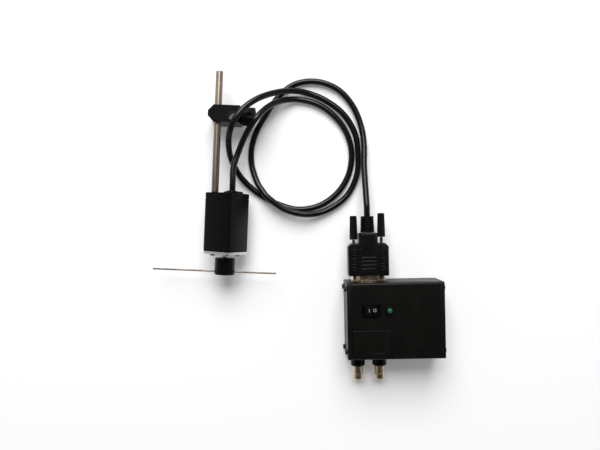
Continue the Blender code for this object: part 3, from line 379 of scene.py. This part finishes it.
def gridMesh(name, points, closeRings=True, capEnds=True):
    # points is rings x sides x 3; neighbours are joined by quads, rings close on themselves, and each end gets a face
    rings, sides = points.shape[:2]
    index = np.arange(rings * sides).reshape(rings, sides)
    nextSide = np.roll(index, -1, axis=1) if closeRings else index[:, 1:]
    thisSide = index if closeRings else index[:, :-1]
    quads = np.stack([thisSide[:-1], nextSide[:-1], nextSide[1:], thisSide[1:]], axis=-1).reshape(-1, 4)
    faces = quads.tolist()
    if closeRings and capEnds:
        faces += [index[0, ::-1].tolist(), index[-1].tolist()]
    mesh = bpy.data.meshes.new(name)
    mesh.from_pydata(points.reshape(-1, 3).tolist(), [], faces)
    work = bmesh.new()
    work.from_mesh(mesh)
    bmesh.ops.remove_doubles(work, verts=work.verts, dist=1e-7)
    bmesh.ops.recalc_face_normals(work, faces=work.faces)
    work.to_mesh(mesh)
    work.free()
    mesh.shade_smooth()
    mesh.set_sharp_from_angle(angle=math.radians(turnedAngle))
    return mesh


def axesAround(axis):
    # two directions square to the axis; the second is as close to +Z as it can be
    axis = unit(axis)
    upright = np.array([0.0, 0.0, 1.0]) if abs(axis[2]) < 0.9 else np.array([0.0, 1.0, 0.0])
    side = unit(np.cross(upright, axis))
    return side, np.cross(axis, side)


def turnedPoints(origin, axis, profile, sides, dent=None):
    # ring k stands at distance along[k] on the axis; its radius is radius[k] less a dent that varies round the ring
    radius, along = np.array(profile, float).T * mm
    angle = np.linspace(0, 2 * math.pi, sides, endpoint=False)
    side, upward = axesAround(axis)
    around = np.cos(angle)[:, None] * side + np.sin(angle)[:, None] * upward
    reach = radius[:, None] - (dent(along / mm, angle) * mm if dent else 0)
    return np.array(origin) + along[:, None, None] * unit(axis) + reach[:, :, None] * around[None]


def roundedStep(radius, low, high, edge, steps=5):
    # the outer side of a turned step from low to high, with quarter-circle edges
    turn = np.linspace(0, math.pi / 2, steps)
    lower = np.stack([radius - edge + edge * np.sin(turn), low + edge - edge * np.cos(turn)], axis=1)
    upper = np.stack([radius - edge + edge * np.cos(turn), high - edge + edge * np.sin(turn)], axis=1)
    return np.vstack([lower, upper]).tolist()


def smoothStep(value, low, high):
    # 0 below low, 1 above high, and 3t^2 - 2t^3 between them
    t = np.clip((value - low) / (high - low), 0, 1)
    return t * t * (3 - 2 * t)


def raisedCosine(angle):
    return 0.5 - 0.5 * np.cos(angle)


def softened(node, width, segments=2, finish=None, angle=sharpAngle, paint=None, highlightFinish=None):
    # a merged copy of the CAD solid with its flat triangles joined, its edges rounded and its curves shaded smooth
    mesh = bpy.data.meshes.new(node + "_soft")
    work = bmesh.new()
    work.from_mesh(nodes[node].data)
    bmesh.ops.remove_doubles(work, verts=work.verts, dist=2e-6)
    bmesh.ops.dissolve_limit(work, angle_limit=math.radians(0.5), verts=work.verts, edges=work.edges)
    work.to_mesh(mesh)
    work.free()
    mesh.materials.clear()
    slot = slotOf[node]
    piece = addPiece(node + "_soft", mesh, bodyOf[node], finish or finishOfSlot[slot], (node,))
    if paint:
        other, inside = paint
        mesh.materials.append(finishes[other])
        middles = np.zeros(len(mesh.polygons) * 3)
        mesh.polygons.foreach_get("center", middles)
        normals = np.zeros(len(mesh.polygons) * 3)
        mesh.polygons.foreach_get("normal", normals)
        chosen = inside(middles.reshape(-1, 3), normals.reshape(-1, 3)).astype(np.int32)
        mesh.polygons.foreach_set("material_index", chosen)
    mesh.shade_smooth()
    mesh.set_sharp_from_angle(angle=math.radians(angle))
    if width:
        bevel = piece.modifiers.new("roundedEdges", "BEVEL")
        bevel.width = width * mm
        bevel.segments = segments
        bevel.limit_method = "ANGLE"
        bevel.angle_limit = math.radians(angle)
        bevel.harden_normals = True
        # the rounded edges may take a paler finish of their own: a painted highlight
        if highlightFinish:
            mesh.materials.append(finishes[highlightFinish])
            bevel.material = len(mesh.materials) - 1
    return piece


# edge radii in millimetres of the solids that keep their own shape
edgeWidth = {
    "sensor_cap": 0.5, "sensor_sleeve": 0.25, "base_plate": 0.3, "clamp_body": 0.7, "end_panel_left": 0.6,
    "end_panel_right": 0.6, "box_sleeve": 0.25, "battery_door": 0.3, "plug_hood": 0.25, "plug_shell": 0.15,
    "rocker_frame": 0.25, "rocker": 0.35, "jackscrew_left": 0.2, "jackscrew_right": 0.2, "box_socket": 0.15,
    "led_holder": 0.2, "bnc_collar_1": 0.25, "bnc_collar_2": 0.25, "bnc_barrel_1": 0.15, "bnc_barrel_2": 0.15,
    "rotor_shaft": 0.2, "stand_screw": 0.2, "rod_lock_screw": 0.2, "thumb_left_shank": 0.1,
    "thumb_right_shank": 0.1, "needle_screw": 0.1,
}
screwEdge = 0.12
finishOfNode = {"plug_hood": "overmouldedPvc", **{f"base_screw_{number}": "brightZinc" for number in (1, 2, 3, 4)}}
# end panels whose rounded edges carry a painted highlight
highlightedEdges = {"end_panel_left": "edgeHighlightAbs", "end_panel_right": "edgeHighlightAbs"}
flatAngle = {"rocker": 12}      # the rocker's two faces meet at a shallow angle that stays crisp
socketReach = 3.6               # mating face of the plug to the far side of the box's flange
boreWall = {"reach": 5.5, "upright": 0.3}       # distance from the bore's axis, and how far a face may lean inwards
insulator = {"reach": 2.6, "proud": 6}          # distance from a socket's axis, and how far along it the paint goes


def softenSolids():
    low, high = frame["record"]["physics"]["openings"][0]["box_m"]      # this box is centred on the stand rod's bore
    boreMiddle = ((low[0] + high[0]) / 2, (low[1] + high[1]) / 2)

    # faces of the bore's wall, which are painted olive grey as painted shade
    def inBore(middles, normals):
        away = np.hypot(middles[:, 0] - boreMiddle[0], middles[:, 1] - boreMiddle[1])
        return (away < boreWall["reach"] * mm) & (abs(normals[:, 2]) < boreWall["upright"])

    def beyondFlange(middles, normals):
        return (middles - plugOrigin) @ plugAxis > -socketReach * mm

    def nearCore(number):
        core = barrelCore(number)

        def inside(middles, normals):
            away = middles - core
            along = away @ plugAxis
            fromAxis = np.linalg.norm(away - along[:, None] * plugAxis, axis=1)
            return (fromAxis < insulator["reach"] * mm) & (along < insulator["proud"] * mm)
        return inside

    # the clamp's bore wall gets painted shade; the socket's far side and the insulators get their own colours
    paints = {"clamp_body": ("paintedBoreShade", inBore), "box_socket": ("mouldedNylon", beyondFlange),
              "bnc_barrel_1": ("pressedPtfe", nearCore(1)), "bnc_barrel_2": ("pressedPtfe", nearCore(2))}
    screws = [name for name in nodes if name.startswith(("cap_screw", "base_screw", "panel_screw"))]
    for name in list(edgeWidth) + screws:
        softened(name, edgeWidth.get(name, screwEdge), finish=finishOfNode.get(name), paint=paints.get(name),
                 angle=flatAngle.get(name, sharpAngle), highlightFinish=highlightedEdges.get(name))


def barrelCore(number):
    # middle of the insulator's face in a socket, where the record's mount stands
    mounts = {mount["name"]: mount for mount in frame["record"]["mounts"]}
    return np.array(mounts["bnc_face_" + ("left", "right")[number - 1]]["pos_m"])


softenSolids()
print("solids softened")

inner = ["bearing_cartridge", "lower_bearing", "upper_bearing", "sensor_board", "optical_fork", "encoder_disc",
         "circuit_board", "battery_cell", "cell_holder"]
for name in inner:
    nodes[name].material_slots[0].material = finishes[finishOfSlot[slotOf[name]]]

rodShape = {"spigot": 1.25, "spigotUnder": 2, "edge": 0.7, "sides": 64, "dimple": 1.1, "dimpleDepth": 0.5}


def makeSupportRod():
    # a straight bar with a rounded tip and the lathe's centre dimple in its end
    origin = np.array(joints["rod_turn"]["pos_m"])
    along, away = reachAround("support_rod", origin, sensorAxis)
    bar = along[away > rodShape["spigotUnder"] * mm]
    low, shoulder, top = (value / mm for value in (along.min(), bar.min(), along.max()))
    profile = ([[rodShape["spigot"], low], [rodShape["spigot"], shoulder]]
               + roundedStep(away.max() / mm, shoulder, top, rodShape["edge"])
               + [[rodShape["dimple"], top], [onAxis, top - rodShape["dimpleDepth"]]])
    mesh = gridMesh("supportRod", turnedPoints(origin, sensorAxis, profile, rodShape["sides"]))
    addPiece("supportRod", mesh, bodyOf["support_rod"], "groundStainless", ("support_rod",))


hubShape = {"edge": 0.9, "grooveDepth": 0.28, "grooveAt": (1.7, 13.6), "grooveHalf": 0.3, "floorHalf": 0.12,
            "bore": 2.3, "boreDepth": 6, "screwRecess": 1.8, "recessDepth": 1.4, "sides": 96}


def makeHub():
    # a plain knob with rounded edges and two fine grooves; it is hollow where the shaft and the screw go in
    s = hubShape
    origin = np.array(joints["rotor_spin"]["pos_m"])
    along, away = reachAround("hub", origin, sensorAxis)
    low, high, radius = along.min() / mm, along.max() / mm, away.max() / mm
    outer = roundedStep(radius, low, high, s["edge"])
    half = len(outer) // 2
    grooves = []
    for at in sorted(high - g for g in s["grooveAt"]):
        grooves += [[radius, at - s["grooveHalf"]], [radius - s["grooveDepth"], at - s["floorHalf"]],
                    [radius - s["grooveDepth"], at + s["floorHalf"]], [radius, at + s["grooveHalf"]]]
    recessFloor, boreFloor = low + s["recessDepth"], high - s["boreDepth"]
    profile = ([[onAxis, recessFloor], [s["screwRecess"], recessFloor], [s["screwRecess"], low]]
               + outer[:half] + grooves + outer[half:]
               + [[s["bore"], high], [s["bore"], boreFloor], [onAxis, boreFloor]])
    mesh = gridMesh("hubKnob", turnedPoints(origin, sensorAxis, profile, s["sides"]))
    addPiece("hubKnob", mesh, "rotor", "mouldedNylon", ("hub",))


needleShape = {"radius": 0.75, "tipRound": 0.35, "sides": 24}


def makeNeedle():
    # a straight steel wire with blunt rounded ends
    axis = unit(joints["needle_slide"]["axis"])
    origin = np.array(middleOf("needle"))
    low, high = (value / mm for value in spanAlong("needle", origin, axis))
    side = roundedStep(needleShape["radius"], low, high, needleShape["tipRound"])
    profile = [[onAxis, low]] + side + [[onAxis, high]]
    mesh = gridMesh("needleWire", turnedPoints(origin, axis, profile, needleShape["sides"]))
    addPiece("needleWire", mesh, "needle", "turnedSteel", ("needle",))


glandShape = {"height": 2.1, "edge": 0.8, "neck": 3.9, "lip": 3.4, "lipHeight": 0.3, "lipFoot": 0.7, "lipCrown": 0.3,
              "throat": 0.4, "throatDepth": 0.3, "sides": 64}


def makeGland():
    # a low round collar with a soft edge and a raised lip round the cable
    s = glandShape
    origin = np.array(middleOf("cable_gland"))
    along, away = reachAround("cable_gland", origin, sensorAxis)
    low, high, wide = along.min() / mm, along.max() / mm, away.max() / mm
    base, foot, throat = high - s["height"], high - s["lipHeight"], high - s["throatDepth"]
    profile = ([[onAxis, low], [s["neck"], low], [s["neck"], base]] + roundedStep(wide, base, foot, s["edge"])
               + [[s["lip"] + s["lipFoot"], foot], [s["lip"] + s["lipCrown"], high], [s["lip"], high],
                  [s["lip"] - s["throat"], throat], [onAxis, throat]])
    mesh = gridMesh("cableGland", turnedPoints(origin, sensorAxis, profile, s["sides"]))
    addPiece("cableGland", mesh, "housing", "mouldedNylon", ("cable_gland",))


knobShape = {"flutes": 10, "fluteDepth": 0.9, "ribs": 50, "ribDepth": 0.16, "edge": 1.4, "edgeSteps": 7, "rows": 9,
             "sides": 400, "fade": 2, "bore": 2.9, "face": 6.2, "faceEdge": 0.5, "faceDepth": 0.8}


def makeStandKnob():
    # a fluted grip: the dent is a squared raised cosine round the ring plus fine ribs, fading out at both ends
    s = knobShape
    axis = unit(joints["stand_knob_turn"]["axis"])
    origin = np.array(middleOf("stand_knob"))
    low, high = (value / mm for value in spanAlong("stand_knob", origin, axis))

    def flute(along, angle):
        fade = smoothStep(along, low, low + s["fade"]) * smoothStep(-along, -high, -(high - s["fade"]))
        wave = s["fluteDepth"] * raisedCosine(s["flutes"] * angle) ** 2
        fine = s["ribDepth"] * raisedCosine(s["ribs"] * angle)
        return fade[:, None] * (wave + fine)[None]

    wide = reachAround("stand_knob", origin, axis)[1].max() / mm
    outer = roundedStep(wide, low, high, s["edge"], s["edgeSteps"])
    half = len(outer) // 2
    straight = [[wide, low + s["edge"] + (high - low - 2 * s["edge"]) * t] for t in np.linspace(0, 1, s["rows"])[1:-1]]
    face = high - s["faceDepth"]
    profile = ([[onAxis, low], [s["bore"], low]] + outer[:half] + straight + outer[half:]
               + [[s["face"], high], [s["face"] - s["faceEdge"], face], [onAxis, face]])
    mesh = gridMesh("standKnob", turnedPoints(origin, axis, profile, s["sides"], flute))
    addPiece("standKnob", mesh, "stand_knob", "mouldedNylon", ("stand_knob",))


# webs are half-angles: the sides stay whole, and a spine splits the windows on the upper and lower face
reliefShape = {"segments": 5, "taper": 0.09, "slot": 1.25, "core": 3.3, "sideWeb": 30, "spineWeb": 13, "edge": 6,
               "crown": 0.12, "lip": 0.03, "sides": 120}


def makeStrainRelief():
    # a sleeve round the cable with a row of slots: each slot is cut to the core except at the side webs and the spine
    s = reliefShape
    along, away = reachAround("strain_relief", plugOrigin, plugAxis)
    low, high, wide = along.min() / mm, along.max() / mm, away.max() / mm
    pitch = (high - low) / s["segments"]
    rows = [[onAxis, low, 0]]                # radius, distance, how much of a slot is open there
    for k in range(s["segments"]):
        bottom, top = low + k * pitch, low + (k + 1) * pitch
        r = wide * (1 - s["taper"] * k / s["segments"]) - s["crown"]
        start = bottom + (s["slot"] / 2 if k else 0)
        end = top - (s["slot"] / 2 if k < s["segments"] - 1 else 0)
        rows += [[r, start, float(k > 0)], [r, start + s["lip"], 0], [r + s["crown"], (start + end) / 2, 0],
                 [r, end - s["lip"], 0], [r, end, float(k < s["segments"] - 1)]]
    rows += [[onAxis, high, 0]]
    table = np.array(rows)

    def slots(distance, angle):
        # degrees from the nearer side, 0 to 90; open between the side web and the spine
        fromSide = np.degrees(np.abs(np.arcsin(np.sin(angle))))
        window = smoothStep(fromSide, s["sideWeb"], s["sideWeb"] + s["edge"])
        window = window * (1 - smoothStep(fromSide, 90 - s["spineWeb"] - s["edge"], 90 - s["spineWeb"]))
        return table[:, 2:3] * window[None] * (table[:, 0:1] - s["core"])

    mesh = gridMesh("strainRelief", turnedPoints(plugOrigin, plugAxis, table[:, :2].tolist(), s["sides"], slots))
    return addPiece("strainRelief", mesh, "housing", "overmouldedPvc", ("strain_relief",))


thumbShape = {"ribs": 14, "ribDepth": 0.32, "edge": 0.5, "narrowing": 0.5, "rows": 12, "fadeFrom": 0.3, "fadeTo": 1.6,
              "dimple": 1.9, "dimpleFloor": 1.5, "dimpleDepth": 0.5, "sides": 112}


def makeThumbHandle(node, name):
    # a tapered handle with ribs along it: the dent is a raised cosine that fades out at both ends
    s = thumbShape
    origin = np.array(joints[bodyOf[node] + "_turn"]["pos_m"])
    reach, away = reachAround(node, origin, plugAxis)
    low, high, widest = reach.min() / mm, reach.max() / mm, away.max() / mm

    def ribs(along, angle):
        fade = (smoothStep(along, low + s["fadeFrom"], low + s["fadeTo"])
                * smoothStep(-along, -(high - s["fadeFrom"]), -(high - s["fadeTo"])))
        return s["ribDepth"] * fade[:, None] * raisedCosine(s["ribs"] * angle)[None]

    def wide(t):
        return widest - s["narrowing"] * t

    edge, dimple = s["edge"], high - s["dimpleDepth"]
    profile = ([[onAxis, low], [wide(0) - edge, low], [wide(0), low + edge]]
               + [[wide(t), low + edge + (high - low - 2 * edge) * t] for t in np.linspace(0, 1, s["rows"])[1:-1]]
               + [[wide(1), high - edge], [wide(1) - edge, high], [s["dimple"], high], [s["dimpleFloor"], dimple],
                  [onAxis, dimple]])
    mesh = gridMesh(name, turnedPoints(origin, plugAxis, profile, s["sides"], ribs))
    return addPiece(name, mesh, bodyOf[node], "overmouldedPvc", (node,))


lensShape = {"radius": 2.5, "sides": 48, "rows": 14, "tip": 0.001}


def makeLens():
    # a straight side under a half-sphere
    origin = np.array(middleOf("led_lens"))
    low, high = (value / mm for value in spanAlong("led_lens", origin, (0, 0, 1)))
    turn = np.linspace(0, math.pi / 2, lensShape["rows"])
    r = lensShape["radius"]
    dome = np.stack([r * np.cos(turn) + lensShape["tip"], high - r + r * np.sin(turn)], axis=1).tolist()
    mesh = gridMesh("lampLens", turnedPoints(origin, (0, 0, 1), [[onAxis, low], [r, low]] + dome, lensShape["sides"]))
    addPiece("lampLens", mesh, "box", "greenEpoxy", ("led_lens",))


makeSupportRod()
makeHub()
makeNeedle()
makeGland()
makeStandKnob()
plugPieces = [makeStrainRelief(), makeThumbHandle("thumb_left_handle", "thumbGripLeft"),
              makeThumbHandle("thumb_right_handle", "thumbGripRight")]
makeLens()
print("turned pieces made")

hoodRelief = {"spineHalf": 6.4, "spineRise": 0.75, "panelHalf": 7.5, "panelRise": 0.55, "panelLow": 1.6,
              "panelHigh": 25.5, "sunkHalf": 6.6, "sunkLow": 4.4, "sunkHigh": 18.0, "sunk": 0.45, "ribPitch": 3.4,
              "rib": 0.3, "ribFoot": 0.55, "ribCrown": 0.95, "edge": 0.8, "windowEdge": 0.3, "windowOn": 0.3,
              "spineBlend": 4, "neckFrom": 37.2, "neckTo": 38.2, "skirt": 0.25, "earAt": 12.9, "earHalf": 2.6,
              "earLow": 2.2, "earHigh": 24.5, "earRise": 0.6, "gripPitch": 2.6, "gripFoot": 0.6, "gripCrown": 0.95,
              "gripHalf": 0.55, "grip": 0.35, "cell": 0.2}
# each patch: left, right, near and far border
hoodPatches = {"hoodSpine": (-7.7, 7.7, 1.0, 38.2), "hoodEarLeft": (-15.8, -10.0, 1.4, 25.4),
               "hoodEarRight": (10.0, 15.8, 1.4, 25.4)}


def plateau(across, along, half, low, high, side, end):
    # 1 inside |across| < half and low < along < high, falling to 0 over "side" and "end" within those borders
    level = 1 - smoothStep(across, half - side, half)
    level = level * smoothStep(along, low, low + end)
    return level * (1 - smoothStep(along, high - end, high))


def hoodHeight(across, along):
    # height over the hood's face: the highest of a spine up to the neck, a wider panel and two ears, each with
    # soft sides, less a sunk window, plus low ribs that run across
    h = hoodRelief
    fromMiddle, edge = np.abs(across), h["edge"]
    spine = h["spineRise"] * (1 - smoothStep(fromMiddle, h["spineHalf"] - edge, h["spineHalf"]))
    spine = spine * (1 - smoothStep(along, h["neckFrom"], h["neckTo"]))
    spine = spine * smoothStep(along, h["panelHigh"] - h["spineBlend"], h["panelHigh"])
    panel = h["panelRise"] * plateau(fromMiddle, along, h["panelHalf"], h["panelLow"], h["panelHigh"], edge, edge)
    window = plateau(fromMiddle, along, h["sunkHalf"], h["sunkLow"], h["sunkHigh"], h["windowEdge"], h["windowEdge"])
    wave = raisedCosine(2 * math.pi * (along - h["sunkLow"]) / h["ribPitch"])
    ribs = h["rib"] * smoothStep(wave, h["ribFoot"], h["ribCrown"]) * window
    # two ears over the screws: raised columns, each crossed by short grip grooves along its middle
    fromEar = np.abs(fromMiddle - h["earAt"])
    ears = plateau(fromEar, along, h["earHalf"], h["earLow"], h["earHigh"], edge / 2, edge)
    wave = raisedCosine(2 * math.pi * (along - h["earLow"]) / h["gripPitch"])
    grip = smoothStep(wave, h["gripFoot"], h["gripCrown"]) * (fromEar < h["earHalf"] * h["gripHalf"])
    ears = ears * (h["earRise"] - h["grip"] * grip)
    sunk = h["sunk"] * window * (panel > h["windowOn"])
    return np.maximum(np.maximum(spine, panel), ears) - sunk + ribs - h["skirt"]


def makeHoodRelief():
    # open sheets whose borders are sunk under the hood's two faces
    low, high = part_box("plug_hood")
    pieces = []
    for part, (left, right, near, far) in hoodPatches.items():
        across = np.linspace(left, right, round((right - left) / hoodRelief["cell"]))
        along = np.linspace(near, far, round((far - near) / hoodRelief["cell"]))
        across, along = np.meshgrid(across, along, indexing="ij")
        rise = hoodHeight(across, along) * mm
        flat = plugOrigin + across[..., None] * mm * plugSide + along[..., None] * mm * plugAxis
        for face, level, sign in (("Upper", high.z, 1), ("Lower", low.z, -1)):
            points = np.concatenate([flat[..., :2], (level + sign * rise)[..., None]], axis=-1)
            mesh = gridMesh(part + face, points, closeRings=False)
            if sign * mesh.polygons[0].normal.z < 0:
                mesh.flip_normals()
            pieces.append(addPiece(part + face, mesh, "housing", "overmouldedPvc"))
    return pieces


plugPieces += makeHoodRelief()
print("plug detailed")

# the face rises from "valley" over the pivot by "slope", and the rocker rests at "tilt" degrees
markShape = {"apart": 2.5, "barHalf": 0.24, "barTall": 1.5, "ringOuter": 1.35, "ringInner": 0.92, "ringTall": 1.1,
             "thick": 0.05, "sunk": -0.05, "crown": 0.01, "shoulder": 0.7, "middle": 0.02, "valley": 1.6,
             "slope": 1.0 / 6.6, "tilt": 10.0, "sides": 40}


def rockerPoints(x, y, lift):
    # the rocker's face is a shallow V; the mark follows it and then tilts with the rocker about its joint
    z = markShape["valley"] + np.abs(x) * markShape["slope"] + lift
    turn = math.radians(markShape["tilt"])
    across = (x * math.cos(turn) + z * math.sin(turn)) * mm
    upward = (z * math.cos(turn) - x * math.sin(turn)) * mm
    y = np.broadcast_to(y, np.shape(x)) * mm
    return (np.array(joints["rocker_tip"]["pos_m"]) + across[..., None] * plugSide + y[..., None] * plugAxis
            + upward[..., None] * np.array([0.0, 0.0, 1.0]))


def makeRockerMarks():
    m = markShape
    # the bar: a stadium outline, drawn as rings from its edge below the face to its middle
    angle = np.linspace(0, 2 * math.pi, m["sides"], endpoint=False)
    stadiumX = m["barHalf"] * np.cos(angle)
    stadiumY = m["barHalf"] * np.sin(angle) + np.sign(np.sin(angle)) * (m["barTall"] - m["barHalf"])
    crown = m["thick"] + m["crown"]
    rings = ((1, m["sunk"]), (1, m["thick"]), (m["shoulder"], crown), (m["middle"], crown))
    bar = np.stack([rockerPoints(-m["apart"] + stadiumX * s, stadiumY * s, lift) for s, lift in rings])
    addPiece("markBar", gridMesh("markBar", bar), "rocker", "padInk")
    # the ring: four loops carried round, closed on itself
    loops = ((m["ringOuter"], m["sunk"]), (m["ringOuter"], m["thick"]), (m["ringInner"], m["thick"]),
             (m["ringInner"], m["sunk"]), (m["ringOuter"], m["sunk"]))
    ring = np.stack([rockerPoints(m["apart"] + r * np.cos(angle), r * np.sin(angle) * m["ringTall"], lift)
                     for r, lift in loops])
    addPiece("markRing", gridMesh("markRing", ring, capEnds=False), "rocker", "padInk")


makeRockerMarks()
print("switch marked")

pinShape = {"radius": 0.5, "length": 3.2, "pitch": 2.77, "rowGap": 2.84, "sides": 16, "floor": 5.2, "root": -1.0,
            "tip": 0.001, "noseRows": 6}


def makePins():
    # nine round-nosed pins in rows of five and four, standing on an insulator in the plug's shell
    p = pinShape
    floor = plugOrigin + plugAxis * p["floor"] * mm
    turn = np.linspace(0, math.pi / 2, p["noseRows"])
    nose = np.stack([p["radius"] * np.cos(turn) + p["tip"],
                     p["length"] - p["radius"] + p["radius"] * np.sin(turn)], axis=1).tolist()
    profile = [[p["tip"], p["root"]], [p["radius"], p["root"]]] + nose
    pins = bmesh.new()
    for row, count in ((0.5, 5), (-0.5, 4)):
        for k in range(count):
            place = (floor + plugSide * (k - (count - 1) / 2) * p["pitch"] * mm
                     + np.array([0, 0, row * p["rowGap"] * mm]))
            pins.from_mesh(gridMesh("pin", turnedPoints(place, -plugAxis, profile, p["sides"])))
    mesh = bpy.data.meshes.new("connectorPins")
    pins.to_mesh(mesh)
    pins.free()
    mesh.shade_smooth()
    return addPiece("connectorPins", mesh, "housing", "goldFlash")


contactShape = {"outer": 1.15, "inner": 0.7, "deep": 3.0, "proud": 0.5, "chamfer": 0.2, "floor": 0.4, "centre": 0.02,
                "sides": 32}


def makeSocketContacts():
    # a gold tube in the middle of each socket's insulator
    c = contactShape
    floor = -c["deep"] + c["floor"]
    profile = [[c["outer"], -c["deep"]], [c["outer"], c["proud"] - c["chamfer"]],
               [c["outer"] - c["chamfer"], c["proud"]], [c["inner"], c["proud"]], [c["inner"], floor],
               [c["centre"], floor]]
    for number in (1, 2):
        mesh = gridMesh(f"centreContact{number}", turnedPoints(barrelCore(number), -plugAxis, profile, c["sides"]))
        addPiece(f"centreContact{number}", mesh, "box", "goldFlash")


plugPieces.append(makePins())
makeSocketContacts()
print("contacts made")

gasketShape = {"half": 13.9, "corner": 2.0, "wide": 0.9, "roll": 31.0, "cornerSteps": 8}


def makeGaskets():
    # thin dark rings, rounded squares, that fill the joints at both ends of the housing's sleeve
    g = gasketShape
    origin = np.array(joints["rotor_spin"]["pos_m"])
    capFoot = spanAlong("sensor_cap", origin, sensorAxis)[0]
    sleeveLow, sleeveHigh = spanAlong("sensor_sleeve", origin, sensorAxis)
    plateTop = spanAlong("base_plate", origin, sensorAxis)[1]
    roll = math.radians(g["roll"])
    level = np.array([sensorAxis[1], -sensorAxis[0], 0.0])
    side = math.cos(roll) * level + math.sin(roll) * np.array([0, 0, 1.0])
    upward = np.cross(side, sensorAxis)
    turn = np.linspace(0, math.pi / 2, g["cornerSteps"])
    loop = np.concatenate([np.stack([np.cos(turn + k * math.pi / 2), np.sin(turn + k * math.pi / 2)], axis=1)
                           for k in range(4)])
    corners = np.repeat([[1, 1], [-1, 1], [-1, -1], [1, -1]], g["cornerSteps"], axis=0)
    for name, low, high in (("gasketCap", sleeveHigh, capFoot), ("gasketBase", plateTop, sleeveLow)):
        rings = []
        for inset, reach in ((0, low), (0, high), (g["wide"], high), (g["wide"], low), (0, low)):
            outline = corners * (g["half"] - g["corner"]) + loop * (g["corner"] - inset)
            rings.append(origin + sensorAxis * reach + mm * (outline[:, :1] * side + outline[:, 1:] * upward))
        mesh = gridMesh(name, np.stack(rings), capEnds=False)
        addPiece(name, mesh, "housing", "mouldedNylon")


makeGaskets()
